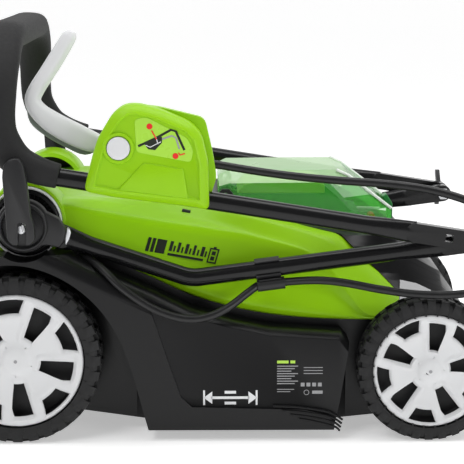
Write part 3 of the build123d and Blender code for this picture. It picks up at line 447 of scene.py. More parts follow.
# ---------------------------------------------------------------- mesh helpers
SLOT_LOOK = {
    "black_shell": "black", "green_shell": "green", "clear_green": "lid_side", "light_grey": "light_grey",
    "dark_plastic": "trim_grey", "battery": "battery", "latch_green": "latch", "key_red": "red",
    "tyre": "tyre", "tube": "tube", "grip_foam": "foam", "cable": "cable", "steel": "steel",
    "blade_steel": "blade", "motor_can": "cast", "switch_case": "black_matt",
}


def piece(name, shape, look, body, slot, stands_for=(), angle=35.0, bevel=0.0):
    """A named piece from (points in metres, faces), smooth up to an angle and with rounded edges."""
    vertices, faces = shape
    mesh = bpy.data.meshes.new(name)
    mesh.from_pydata([tuple(v) for v in vertices], [], faces)
    work = bmesh.new()
    work.from_mesh(mesh)
    bmesh.ops.remove_doubles(work, verts=work.verts, dist=1e-6)
    bmesh.ops.recalc_face_normals(work, faces=work.faces)
    work.to_mesh(mesh)
    work.free()
    obj = link(bpy.data.objects.new(name, mesh))
    dress(obj, look, body, slot, stands_for, angle, bevel)
    return obj


def round_edges(obj, width, angle):
    """Rounds the edges that are sharper than the angle. The width is in millimetres."""
    rounding = obj.modifiers.new("rounding", "BEVEL")
    rounding.width = width * MM
    rounding.segments = 2
    rounding.limit_method = "ANGLE"
    rounding.angle_limit = math.radians(angle)
    rounding.harden_normals = False


def dress(obj, look, body, slot, stands_for=(), angle=35.0, bevel=0.0):
    """Gives a piece its shading, rounded edges, finish, body and slot."""
    mesh = obj.data
    for polygon in mesh.polygons:
        polygon.use_smooth = True
    mesh.set_sharp_from_angle(angle=math.radians(angle))
    mesh.materials.clear()
    mesh.materials.append(M[look])
    if bevel:
        round_edges(obj, bevel, angle)
    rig.ride(obj, body)
    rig.slot(obj, slot)
    if stands_for:
        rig.replaces(obj, *stands_for)


def refined(node, look, bevel, angle=32.0):
    """A CAD node with its edges rounded, in its place."""
    source = nodes[node]
    mesh = source.data.copy()
    mesh.name = node + "_shape"
    work = bmesh.new()
    work.from_mesh(mesh)
    bmesh.ops.remove_doubles(work, verts=work.verts, dist=2e-6)
    bmesh.ops.dissolve_limit(work, angle_limit=math.radians(0.6), verts=work.verts, edges=work.edges)
    work.to_mesh(mesh)
    work.free()
    obj = link(bpy.data.objects.new(node + "_shape", mesh))
    dress(obj, look or SLOT_LOOK[SLOT_OF[node]], BODY_OF[node], SLOT_OF[node], (node,), angle, bevel)
    return obj


def rounded(points, radius, steps=4):
    """A closed outline with its corners rounded, as (x, z) points."""
    result = []
    count = len(points)
    for i, corner in enumerate(points):
        corner = Vector(corner)
        before = Vector(points[i - 1]) - corner
        after = Vector(points[(i + 1) % count]) - corner
        cut = min(radius, before.length * 0.48, after.length * 0.48)
        start = corner + before.normalized() * cut
        end = corner + after.normalized() * cut
        for step in range(steps + 1):
            t = step / steps
            result.append(tuple(start * (1 - t) ** 2 + corner * 2 * t * (1 - t) + end * t * t))
    return result


def inset(outline, distance):
    """The closed outline drawn in by distance."""
    area = sum(a[0] * b[1] - b[0] * a[1] for a, b in zip(outline, outline[1:] + outline[:1]))
    turn = 1 if area > 0 else -1
    result = []
    for i, corner in enumerate(outline):
        before = (Vector(corner) - Vector(outline[i - 1])).normalized()
        after = (Vector(outline[(i + 1) % len(outline)]) - Vector(corner)).normalized()
        normal = Vector((-before.y - after.y, before.x + after.x)) * turn
        if normal.length < 1e-6:
            normal = Vector((-after.y, after.x)) * turn
        normal.normalize()
        lean = max(0.5, normal.dot(Vector((-after.y, after.x)) * turn))
        result.append(tuple(Vector(corner) + normal * distance / lean))
    return result


def joined_loops(loops, pairs):
    """Points of loops of equal length, and faces from each of the first pairs loops to its next one."""
    count = len(loops[0])
    vertices = [point for loop in loops for point in loop]
    faces = []
    for i in range(pairs):
        a, b = i * count, (i + 1) % len(loops) * count
        for j in range(count):
            k = (j + 1) % count
            faces.append((a + j, a + k, b + k, b + j))
    return vertices, faces


def rings(loops):
    """A solid through loops of equal length, each a list of points in metres, with a cap at each end."""
    vertices, faces = joined_loops(loops, len(loops) - 1)
    count = len(loops[0])
    return vertices, faces + [tuple(range(count)), tuple(range(len(vertices) - count, len(vertices)))]


def slab(outline, y_from, y_to):
    """A flat plate: an (x, z) outline drawn out along y."""
    return rings([[at(x, y, z) for x, z in outline] for y in (y_from, y_to)])


def layered(outline, side, levels):
    """A plate whose outline is drawn in by each inset of the (inset, |y|) levels."""
    return rings([[at(x, side * y, z) for x, z in inset(outline, d)] for d, y in levels])


def lathe(centre, side, profile, steps=96):
    """A turned shape about an axis along y at centre (x, z). The profile is (|y|, radius) points."""
    loops = []
    for i in range(steps):
        turn = 2 * math.pi * i / steps
        loops.append(
            [at(centre[0] + r * math.cos(turn), side * y, centre[1] + r * math.sin(turn)) for y, r in profile]
        )
    return joined_loops(loops, steps)


def sheet(rows, count):
    """The faces of an open sheet: rows of count points each."""
    return [(i * count + j, i * count + j + 1, (i + 1) * count + j + 1, (i + 1) * count + j)
            for i in range(rows - 1) for j in range(count - 1)]


def smooth_path(points, steps=6):
    """A smooth line through (x, y, z, ...) points, by Catmull-Rom interpolation."""
    padded = [points[0]] + list(points) + [points[-1]]
    result = []
    for i in range(1, len(padded) - 2):
        p0, p1, p2, p3 = (padded[i + k] for k in (-1, 0, 1, 2))
        for step in range(steps):
            t = step / steps
            result.append(tuple(
                0.5 * (2 * b + (c - a) * t + (2 * a - 5 * b + 4 * c - d) * t**2 + (3 * b - a - 3 * c + d) * t**3)
                for a, b, c, d in zip(p0, p1, p2, p3)
            ))
    result.append(tuple(points[-1]))
    return result


def swept(path, power, sides):
    """A bar along (x, y, z, width, thickness) points. Width lies along a normal that starts upright."""
    places = [at(*p[:3]) for p in path]
    normal = Vector((0, 0, 1))
    loops = []
    for i, place in enumerate(places):
        way = (places[min(i + 1, len(places) - 1)] - places[max(i - 1, 0)]).normalized()
        normal = (normal - way * normal.dot(way)).normalized()
        across = way.cross(normal)
        width, thickness = path[i][3] / 2 * MM, path[i][4] / 2 * MM
        loop = []
        for k in range(sides):
            turn = 2 * math.pi * k / sides
            c, s = math.cos(turn), math.sin(turn)
            u = math.copysign(abs(c) ** (2 / power), c)
            v = math.copysign(abs(s) ** (2 / power), s)
            loop.append(place + normal * u * width + across * v * thickness)
        loops.append(loop)
    return rings(loops)


# ---------------------------------------------------------------- wheels
# The centre as (x, z), the tyre's radius, how far out it reaches, the radius of the pale cover, and
# the turn of that cover's first slot in degrees
WHEELS = {
    "rear": {"centre": (0.0, 89.0), "radius": 89.0, "outer": 197.0, "face": 70.5, "slots": 60.5},
    "front": {"centre": (432.0, 76.0), "radius": 76.0, "outer": 193.0, "face": 60.0, "slots": 82.0},
}
WHEEL_INNER = 153.0
LUGS = 32
SHOULDER_SHARE = 0.62
ROW_SHARE = 0.55
RIB_WIDTH = 1.9


def lug(centre, side, turn, width, sections):
    """One tread block: its foot and top follow (|y|, foot radius, top radius) sections."""
    loops = []
    for y, foot, top in sections:
        half_foot = width / foot / 2
        half_top = (width - 1.2) / top / 2
        loop = []
        for radius, angle in (
            (foot, turn - half_foot), (top, turn - half_top), (top, turn + half_top), (foot, turn + half_foot)
        ):
            loop.append(at(centre[0] + radius * math.cos(angle), side * y, centre[1] + radius * math.sin(angle)))
        loops.append(loop)
    return rings(loops)


def join(shapes):
    """Several (vertices, faces) shapes as one."""
    vertices, faces = [], []
    for part_vertices, part_faces in shapes:
        offset = len(vertices)
        vertices += part_vertices
        faces += [tuple(i + offset for i in face) for face in part_faces]
    return vertices, faces


def make_tyre(end, name, side):
    wheel = WHEELS[end]
    centre, radius, outer, seat = wheel["centre"], wheel["radius"], wheel["outer"], wheel["face"] + 1.5
    middle = (WHEEL_INNER + outer) / 2
    half = (outer - WHEEL_INNER) / 2
    wall = [(1.0, seat), (0.99, seat + 3), (1.0, radius - 12), (0.96, radius - 7), (0.86, radius - 4.2),
            (0.6, radius - 3.2), (0.2, radius - 3.0)]
    profile = [(middle - a * half, r) for a, r in wall] + [(middle + a * half, r) for a, r in reversed(wall)]
    shapes = [lathe(centre, side, profile, 128)]
    shoulder = ((1.0, 11.5, 8.6), (0.985, 8.4, 4.2), (0.9, 6, 1.2), (0.66, 4, 0.3))
    row = ((0.6, 4, 0.2), (0.12, 4, 0))
    rib = [(outer - 0.6, radius - 17, radius - 12.6), (outer + 0.7, radius - 17, radius - 12.6)]
    pitch = 2 * math.pi / LUGS
    for i in range(LUGS):
        turn = i * pitch
        for sign in (-1, 1):
            for sections, start, share in ((shoulder, turn, SHOULDER_SHARE), (row, turn + pitch / 2, ROW_SHARE)):
                block = [(middle + sign * half * a, radius - foot, radius - top) for a, foot, top in sections]
                shapes.append(lug(centre, side, start, radius * pitch * share, block))
        shapes.append(lug(centre, side, turn + pitch / 2, RIB_WIDTH, rib))
    piece(f"tyre_{end}_{name}", join(shapes), "tyre", f"{end}_wheel_{name}", "tyre",
          (f"{end}_tyre_{name}",), angle=30)


# The wheel cover, drawn at the rear wheel's size: five sectors, each with a slot at its start and a
# window in its middle. Spans are radii in millimetres, the rest are degrees.
COVER_RADIUS = 70.5
SECTORS = 5
SECTOR = 360 / SECTORS
WINDOW_MIDDLE = 36
SLOT_HALF = 10.0
WINDOW_HALF = 13.0
WINDOW_SLANT = 0.154
SLOT_SPAN = (25.8, 60.0)
WINDOW_SPAN = (50.4, 65.5)
RIM_START = 66


def face_height(r):
    """How far the wheel cover's surface stands in from its hub's top at radius r."""
    points = ((0, 0.0), (9, 0.3), (13, 1.2), (16, 2.6), (20, 3.6), (32, 3.9), (50, 3.0), (60, 2.0), (66, 1.1),
              (69, 1.5), (70.5, 3.2))
    for (r0, h0), (r1, h1) in zip(points, points[1:]):
        if r <= r1:
            t = (r - r0) / (r1 - r0)
            return h0 + (h1 - h0) * t * t * (3 - 2 * t)
    return points[-1][1]


def make_wheel_cover(end, name, side):
    wheel = WHEELS[end]
    cx, cz = wheel["centre"]
    top = wheel["outer"] + 1
    scale = wheel["face"] / COVER_RADIUS
    radii = [3, 6, 9, 11, 13, 14.5, 16, 18, 21, 23.5, 25.8, 27.5, 30, 34, 38, 42, 46, 48.5, 50.4, 52, 55, 58, 60,
             61.5, 63.5, 65.5, 67, 68.3, 69.5, 70.5]
    columns = [-10, -8.2, -5, 0, 5, 8.2, 10, 12, 15, 18, 21, 23, 25, 29, 36, 43, 47, 49, 51, 54, 57, 60]
    points, faces = {}, []
    vertices = [at(cx, side * top, cz)]

    def spread(column, r):
        """The column's angle, moved with the slant of the window's sides."""
        away = column - WINDOW_MIDDLE
        share = min(max((r - WINDOW_SPAN[0]) / (WINDOW_SPAN[1] - WINDOW_SPAN[0]), -0.6), 1.2)
        slant = 1 + WINDOW_SLANT * (2 * share - 1)
        if abs(away) <= WINDOW_HALF:
            return WINDOW_MIDDLE + away * slant
        reach = WINDOW_MIDDLE - SLOT_HALF
        rest = (abs(away) - WINDOW_HALF) / (reach - WINDOW_HALF)
        return WINDOW_MIDDLE + math.copysign(WINDOW_HALF * slant + (reach - WINDOW_HALF * slant) * rest, away)

    for j, r in enumerate(radii):
        for sector in range(SECTORS):
            for i, column in enumerate(columns):
                slot_gap = max(abs(column) - SLOT_HALF, 0) * math.pi / 180 * r
                slot_gap = math.hypot(slot_gap, max(SLOT_SPAN[0] - r, r - SLOT_SPAN[1], 0))
                window_gap = max(abs(column - WINDOW_MIDDLE) - WINDOW_HALF, 0) * math.pi / 180 * r
                window_gap = math.hypot(window_gap, max(WINDOW_SPAN[0] - r, 0))
                gap = min(slot_gap, window_gap) if r < RIM_START else slot_gap
                lip = 1.3 * math.exp(-((gap - 3.4) / 1.4) ** 2) if r < RIM_START else 0
                drop = 2.0 * math.exp(-(gap / 1.5) ** 2) if 20 < r < RIM_START else 0
                height = top - face_height(r) * 1.25 + lip - drop
                turn = math.radians(wheel["slots"] + SECTOR * sector + spread(column, r))
                points[j, sector, i] = len(vertices)
                vertices.append(at(cx + r * scale * math.cos(turn), side * height, cz + r * scale * math.sin(turn)))
    count = len(columns)
    for sector in range(SECTORS):
        for i in range(count):
            after = (sector, i + 1) if i + 1 < count else ((sector + 1) % SECTORS, 0)
            right = columns[i + 1] if i + 1 < count else SECTOR - SLOT_HALF
            faces.append((0, points[0, sector, i], points[0, after[0], after[1]]))
            for j in range(len(radii) - 1):
                inner_r, outer_r = radii[j], radii[j + 1]
                in_slot = right <= SLOT_HALF and inner_r >= SLOT_SPAN[0] and outer_r <= SLOT_SPAN[1]
                in_window = (columns[i] >= WINDOW_MIDDLE - WINDOW_HALF and right <= WINDOW_MIDDLE + WINDOW_HALF
                             and inner_r >= WINDOW_SPAN[0] and outer_r <= WINDOW_SPAN[1])
                if not in_slot and not in_window:
                    faces.append((points[j, sector, i], points[j + 1, sector, i],
                                  points[j + 1, after[0], after[1]], points[j, after[0], after[1]]))
    body = f"{end}_wheel_{name}"
    cover = piece(f"cover_{end}_{name}", (vertices, faces), "light_grey", body, "light_grey",
                  (f"{end}_wheel_cover_{name}",), angle=50)
    normal_sign = cover.data.polygons[0].normal.y * side
    shell = cover.modifiers.new("thickness", "SOLIDIFY")
    shell.thickness = 2.6 * MM
    shell.offset = -1 if normal_sign > 0 else 1
    round_edges(cover, 0.5, 62)
    mark = [(top - 0.5, 0.01), (top + 0.35, 0.01), (top + 0.35, 1.7), (top - 0.5, 2)]
    piece(f"hub_mark_{end}_{name}", lathe((cx, cz), side, mark, 24), "graphic_grey", body, "light_grey")


for end in WHEELS:
    for name, side in SIDES.items():
        make_tyre(end, name, side)
        make_wheel_cover(end, name, side)
        refined(f"{end}_rim_{name}", "black_matt", 0.8)

# The middle of the handle's lower joints, as (x, z)
PIVOT = (9.0, 228.0)

# ---------------------------------------------------------------- green cover
# Stations of the cover: x, then (half width, height) of the seam, the lower edge, the two creases
# of the bevelled band, the shoulder and the hood's edge. The flare goes before the first of those creases.
COVER = (
    (-52, (148, 196), (149, 201), (141, 208), (128, 211), (112, 212), (97.5, 212)),
    (-40, (148, 198), (150, 206), (146, 222), (132, 227), (113, 229), (97.5, 230)),
    (0, (149, 200.5), (151, 208), (148, 238), (134, 244), (113, 246), (97.5, 246)),
    (42, (149, 200.5), (152, 208), (147, 248), (130, 250), (114, 250), (97.5, 249)),
    (64, (149, 198.5), (153, 206), (144, 243), (127, 249), (113, 250), (97.5, 248)),
    (84, (149, 191.5), (153.5, 199), (141, 237), (125, 247), (112, 249), (97.5, 247)),
    (103, (149, 184.5), (153.5, 192), (139.5, 234), (124, 243), (111, 247), (97.5, 245)),
    (125, (149, 175.5), (154, 183), (138, 230.5), (123, 239), (110, 245), (97.5, 243)),
    (148, (149, 165), (154, 172.5), (137, 226), (122, 234.5), (109, 243), (97.5, 241)),
    (166, (149, 156), (154, 164), (136, 223), (122, 231), (108.5, 241.5), (97.5, 240)),
    (190, (149, 146), (154.5, 154), (134, 219), (122, 227), (108, 239), (97.5, 238)),
    (212, (150, 139.5), (155, 147.5), (133, 215), (124, 220.5), (112, 235.8), (97.5, 235.5)),
    (234, (150, 134), (155, 142.5), (131, 212), (126, 216), (115, 232.2), (97.5, 233)),
    (256, (150, 129.5), (155, 138), (131, 206), (127.5, 209), (116.5, 227), (97.5, 228)),
    (280, (150, 126.5), (154.5, 134.5), (132, 200.5), (129, 203), (117, 220.4), (97.5, 221.5)),
    (302, (150, 124.5), (154, 131.5), (133, 194), (130.5, 196.5), (117.5, 214), (97.5, 215)),
    (316, (150, 123.5), (153.5, 129.5), (134.5, 187.5), (132.5, 190), (117.5, 210.2), (97.5, 211.5)),
    (330, (150, 123), (153, 127.5), (137, 175.5), (135, 178), (117, 205.6), (97.8, 208)),
    (341, (150, 122.6), (152.5, 126), (140.5, 162), (138.5, 164.5), (116, 200.6), (98.2, 206)),
    (354, (150, 122.3), (152, 124.5), (146.5, 142.5), (144, 145), (111, 188), (102.5, 195.5)),
    (367, (150, 122), (151.5, 123.6), (151, 125.3), (148, 128.5), (117, 176), (107.5, 183)),
    (386, (150, 122), (151, 123.4), (150.6, 125), (148, 129), (125, 157), (115.5, 164.5)),
    (400, (149.5, 122), (150.4, 123.3), (150, 124.8), (147.5, 129), (133, 145), (124.5, 151)),
    (411.5, (149, 122), (149.8, 123.2), (149.4, 124.6), (147, 128), (139.5, 134.5), (133, 140)),
)
HOOD_REAR = 196
HOOD_HALF = 97.5
FLARE_SHARE = 0.42
FLARE_DEPTH = 6.0
COVER_WALL = 2.4


def flare(x, low, high):
    """A crease across the slanted side: the cover spreads out more below it."""
    inward = FLARE_DEPTH * max(min((x - 120) / 80, 1, (376 - x) / 30), 0)
    return low[0] + (high[0] - low[0]) * FLARE_SHARE - inward, low[1] + (high[1] - low[1]) * FLARE_SHARE


COVER = [(x, seam, low, flare(x, low, high), high, *rest) for x, seam, low, high, *rest in COVER]


def make_cover():
    """The green cover: one sheet each side that closes over the top behind the hood."""
    shapes = []
    for side in SIDES.values():
        vertices = [at(x, side * y, z) for x, *points in COVER for y, z in points]
        shapes.append((vertices, sheet(len(COVER), len(COVER[0]) - 1)))
    top = [(x, points[-1][1]) for x, *points in COVER if x <= HOOD_REAR] + [(HOOD_REAR, 237.6)]
    across = (-HOOD_HALF, -65, -32, 0, 32, 65, HOOD_HALF)
    vertices = [at(x, y, z + 1.5 * math.cos(y / HOOD_HALF * math.pi / 2)) for x, z in top for y in across]
    shapes.append((vertices, sheet(len(top), len(across))))
    cover = piece("cover_shell", join(shapes), "green", "chassis", "green_shell", ("motor_cover",), angle=80)
    mesh = cover.data
    crease = mesh.attributes.new("crease_edge", "FLOAT", "EDGE")
    bands = {}
    for x, *points in COVER:
        for level, (y, z) in enumerate(points):
            for side in (-1, 1):
                bands[tuple(round(c, 5) for c in at(x, side * y, z))] = level
    sharp = {1: 0.95, 2: 0.9, 3: 0.97, 4: 0.94, 5: 0.85}
    for edge in mesh.edges:
        levels = [bands.get(tuple(round(c, 5) for c in mesh.vertices[v].co)) for v in edge.vertices]
        if levels[0] is not None and levels[0] == levels[1]:
            crease.data[edge.index].value = sharp.get(levels[0], 0.0)
    surface = cover.modifiers.new("surface", "SUBSURF")
    surface.levels = surface.render_levels = 2
    surface.boundary_smooth = "PRESERVE_CORNERS"
    wall = cover.modifiers.new("thickness", "SOLIDIFY")
    wall.thickness = COVER_WALL * MM
    face = mesh.polygons[10]
    wall.offset = -1 if face.normal.dot(face.center - at(200, 0, 150)) > 0 else 1
    for name, side in SIDES.items():
        dome = [(99, 36), (101, 40.5), (105, 42), (146, 42), (149.2, 41), (150, 38.5), (146, 37), (146, 36.6),
                (104, 36)]
        piece(f"cover_shoulder_{name}", lathe(PIVOT, side, dome), "green", "chassis", "green_shell", angle=40,
              bevel=0.5)


make_cover()

# ---------------------------------------------------------------- outlines and strokes
def faced(outline, levels, radius):
    """A plate from (inset, y, corner radius) levels of one outline."""
    return rings([[at(x, y, z) for x, z in rounded(inset(outline, d), max(radius - d, r))] for d, y, r in levels])


def stroke(points, width):
    """The closed outline of a line of one width through (x, z) points."""
    left, right = [], []
    for i, point in enumerate(points):
        before = Vector(points[max(i - 1, 0)])
        after = Vector(points[min(i + 1, len(points) - 1)])
        way = (after - before).normalized()
        normal = Vector((-way.y, way.x)) * width / 2
        left.append(tuple(Vector(point) + normal))
        right.append(tuple(Vector(point) - normal))
    return left + right[::-1]


def disc(centre, radius, steps=24):
    turns = [2 * math.pi * i / steps for i in range(steps)]
    return [(centre[0] + radius * math.cos(turn), centre[1] + radius * math.sin(turn)) for turn in turns]


def flat(outline, y, out):
    """A thin print or plate that stands out from y towards the mower's right."""
    return slab(outline, y + 0.3, y - out)


# ---------------------------------------------------------------- switch box, its cap and its pictogram
SHELL_OUTER = [(74, 268), (82, 301), (89, 323), (103, 346), (116, 356.5), (130, 357), (153, 351), (183, 338),
               (194, 326), (200.5, 298), (201.5, 248.5), (183, 252), (103, 262)]
SHELL_INNER = [(74, 268), (82, 301), (89, 323), (103, 346), (116, 356), (150, 352.5), (197, 341), (205, 306),
               (209, 280), (206, 270), (200, 252), (183, 253), (103, 262)]
FACE = -206.3
STICKER_THICKNESS = 0.45
CAP = (110, 313)
BAIL_PIVOT = (109, 311)
BUTTON = (168, 322)


def on_box(name, shape, look="green", slot="green_shell", stands_for=(), **more):
    """A piece of the switch box, which turns with the upper handle."""
    piece(name, shape, look, "upper_handle", slot, stands_for, **more)


levels = [(0, -183.2, 0), (0, -199.5, 0), (1.2, -202.3, 0), (7.6, -208.2, 0), (8.4, -208.6, 1), (9.3, -208.2, 1),
          (10.4, FACE, 1)]
on_box("switch_box_outer_shape", faced(SHELL_OUTER, levels, 7), stands_for=("switch_box_outer",), angle=50, bevel=0.4)
levels = [(0, -182.8, 0), (0, -173, 0), (0.8, -170, 0), (3, -168, 1), (6, -167.6, 2)]
on_box("switch_box_inner_shape", faced(SHELL_INNER, levels, 7), stands_for=("switch_box_inner",), angle=50, bevel=0.4)
panel = [(104.5, 266.5), (135, 298.8), (176, 292), (181, 258)]
levels = [(0, FACE + 0.5, 0), (0.4, FACE - 0.7, 0), (1.8, FACE - 1.5, 0)]
on_box("switch_box_panel", faced(panel, levels, 3), angle=60, bevel=0.3)
profile = [(205, 16.2), (207.6, 16.2), (208.6, 15.4), (208.6, 12.6), (207.6, 12.2), (205, 12.2)]
on_box("cap_ring", lathe(CAP, -1, profile, 72), angle=40)
profile = [(205, 0.01), (205, 11.6), (209.4, 11.6), (210.4, 10.6), (210.7, 8), (210.9, 0.01)]
on_box("cap_button", lathe(CAP, -1, profile, 72), "light_grey", "light_grey", ("bail_pin",), angle=40)
profile = [(151, 0.01), (151, 3.4), (151.6, 4), (205, 4), (205, 0.01)]
on_box("bail_pin_rod", lathe(BAIL_PIVOT, -1, profile, 32), "steel", "light_grey", angle=40)
sticker = [(128, 309), (126.5, 342), (138, 344.5), (179, 323.5), (185.5, 311), (183, 298.5)]
on_box("sticker", flat(rounded(sticker, 4), FACE, STICKER_THICKNESS), "sticker", angle=40, bevel=0.15)
PRINT = FACE - STICKER_THICKNESS
PICTOGRAM = {
    "handle": ("graphic_black", [stroke([(130, 315), (148.5, 323.5), (163, 331.5), (168, 330), (176.5, 311)], 2.4)]),
    "lever": ("graphic_grey", [stroke([(152.5, 321.5), (164, 325.5), (168, 323.5), (171.5, 312)], 1.8)]),
    "switch": ("graphic_black", [[(136, 317.5), (148, 324.5), (154, 324.5), (154, 318.5), (147, 311), (140, 312)]]),
    "switch_line": ("graphic_white", [stroke([(137.5, 316), (142, 314), (153, 319.5)], 0.8),
                                      stroke([(148, 324), (150, 317)], 0.8)]),
    "points": ("red", [disc((141.5, 335), 3), disc((167.5, 305), 3), stroke([(143.5, 331), (148.5, 322)], 1.3),
                       stroke([(170.5, 308.5), (172, 306), (177, 307.5)], 1.3)]),
}
for number, (name, (look, outlines)) in enumerate(PICTOGRAM.items()):
    on_box(f"pictogram_{name}", join([flat(outline, PRINT - 0.02 * number, 0.2) for outline in outlines]), look)

# ---------------------------------------------------------------- grip and bail
GRIP_LEG = ((47, 281.2, 25, 26), (34, 284.6, 27, 28), (20, 289.4, 30, 29), (6, 297, 33, 29), (-5, 309, 36, 28),
            (-12.5, 325, 36.5, 28), (-14.5, 343, 37, 28))
GRIP_SIDE = 183.0
GRIP_TURN = 80.0
GRIP_HALF = [
    (-14.5 + 2.5 * t, GRIP_TURN * (1 - math.cos(t * math.pi / 2)) - GRIP_SIDE, 343 + 78 * math.sin(t * math.pi / 2),
     37 + 4 * min(2 * t, 1), 28 + 2 * t) for t in (0.17, 0.33, 0.5, 0.67, 0.83, 1)
] + [(-12, -50, 421, 41, 30)]


def mirrored(half):
    return half + [(x, -y, *rest) for x, y, *rest in reversed(half)]


leg = [(x, -GRIP_SIDE, z, w, t) for x, z, w, t in GRIP_LEG]
path = smooth_path(mirrored(leg + GRIP_HALF), 4)
piece("grip", swept(path, 2.7, 28), "foam", "upper_handle", "grip_foam", ("grip_loop",), angle=60,
      bevel=1.2)

BAIL_PATH = ((109, -158, 311.5, 14, 13), (92, -158, 311.5, 16, 14), (78, -158, 314.5, 22, 15),
             (60, -157.5, 322.5, 24, 16), (40, -157, 333.5, 22.5, 17), (25, -156, 345.5, 18.5, 18),
             (19.3, -155, 357, 16, 20), (24, -154, 369, 15.5, 22), (34, -153, 384, 15.5, 23),
             (45, -152, 401, 15.5, 24), (56, -152, 419, 14.5, 24), (59, -152, 424, 12, 23), (60.6, -152, 427, 7, 20))
shape = swept(smooth_path(BAIL_PATH, 4), 3.2, 32)
piece("bail", shape, "light_grey", "bail", "light_grey", ("bail_lever",), angle=50, bevel=0.8)
profile = [(149.7, 4.2), (149.7, 10), (150.5, 11), (166, 11), (167, 10), (167, 4.2)]
piece("bail_hub", lathe(BAIL_PIVOT, -1, profile, 48), "light_grey", "bail", "light_grey", angle=40)
# A grey-green strip along the underside of the bail's arm: painted shade, and a painted reflection of the green cover
# below it.
BAIL_SHADE_Y = -151
under = [(x - 5.4, BAIL_SHADE_Y, z - 9.5, w * 0.55, 11) for x, y, z, w, t in BAIL_PATH[2:6]]
under = [(86, BAIL_SHADE_Y, 309, 6, 8)] + under + [(15.6, BAIL_SHADE_Y, 352, 7, 8)]
shape = swept(smooth_path(under, 4), 2.2, 20)
piece("bail_web", shape, "web_grey", "bail", "light_grey", angle=60, bevel=0.5)

profile = [(178.4, 0.01), (178.4, 7.3), (163.4, 7.3), (162.2, 6.9), (161.6, 5.8), (162, 4.4), (162.4, 0.01)]
piece("start_button_shape", lathe(BUTTON, -1, profile, 48), "red", "start_button_body", "switch_case",
      ("start_button",), angle=40)
profile = [(168.4, 8.2), (168.4, 11.5), (166.8, 11.2), (166, 10.2), (166, 8.9), (166.6, 8.2)]
on_box("start_button_collar", lathe(BUTTON, -1, profile, 48), "trim_grey", angle=40)

# A short sleeve round the cable where it leaves the box, as (x, radius), and its slope there
SLEEVE = ((201, 4.4), (212.5, 4.5), (214, 4.3))
SLEEVE_SLOPE = 0.14
exit_x, exit_y, exit_z = CABLE_UPPER[0]
turns = [math.radians(a) for a in range(0, 360, 15)]
on_box("cable_sleeve", rings([
    [at(x, exit_y + r * math.cos(a), exit_z + (exit_x - x) * SLEEVE_SLOPE + r * math.sin(a)) for a in turns]
    for x, r in SLEEVE
]), "cable", angle=40)

# ---------------------------------------------------------------- clamp knuckles, levers and toothed brackets
LEVER = [(1, 213.5), (-4, 219), (-4.6, 232), (-7.8, 284), (-6.5, 295), (-2, 300.5), (3, 302.6), (9, 302.2),
         (13.8, 296), (16.5, 281), (20.2, 243), (23.5, 232), (24, 219), (19, 213.5), (14.6, 213.5), (14.6, 236.5),
         (7, 236.5), (7, 213.5)]
LEVER_LEVELS = ((0.7, 198.6), (0, 199.3), (0, 206.6), (0.3, 207.6), (0.8, 208))
KNUCKLE_RADIUS = 28.6
turns = [math.radians(a) for a in range(42, 322, 10)]
KNUCKLE = [(PIVOT[0] + KNUCKLE_RADIUS * math.cos(a), PIVOT[1] + KNUCKLE_RADIUS * math.sin(a)) for a in turns]
KNUCKLE += [(33, 207.5), (46, 205), (51, 212), (53.5, 224), (46, 236), (33, 243)]
KNUCKLE_LEVELS = ((0, 169), (0, 175.6), (1.2, 178), (3.4, 178.9))
KNUCKLE_RING = [(178, 25.4), (183.4, 25.2), (184.6, 24.4), (184.6, 22.8), (183, 22), (180.5, 21.4), (178, 21.4)]
BRACKET = [(138.6, 9), (138.6, 35), (150, 35.2), (154.6, 34.8), (155.4, 33.6), (155.4, 31.4), (153.6, 30.8),
           (152.6, 27), (152.6, 19), (155.4, 17.5), (155.4, 9)]
# A light grey ring at the toothed bracket's edge: a painted highlight on the black disc
BRACKET_EDGE_HIGHLIGHT = [(146, 35.3), (154.5, 35.6), (156.2, 36.4), (156.2, 37.2), (154, 37.8), (146, 37.8)]
TEETH = 40
TOOTH_WIDTH = 2.3
TOOTH = [(152.4, 27, 31), (154.6, 27.4, 31)]
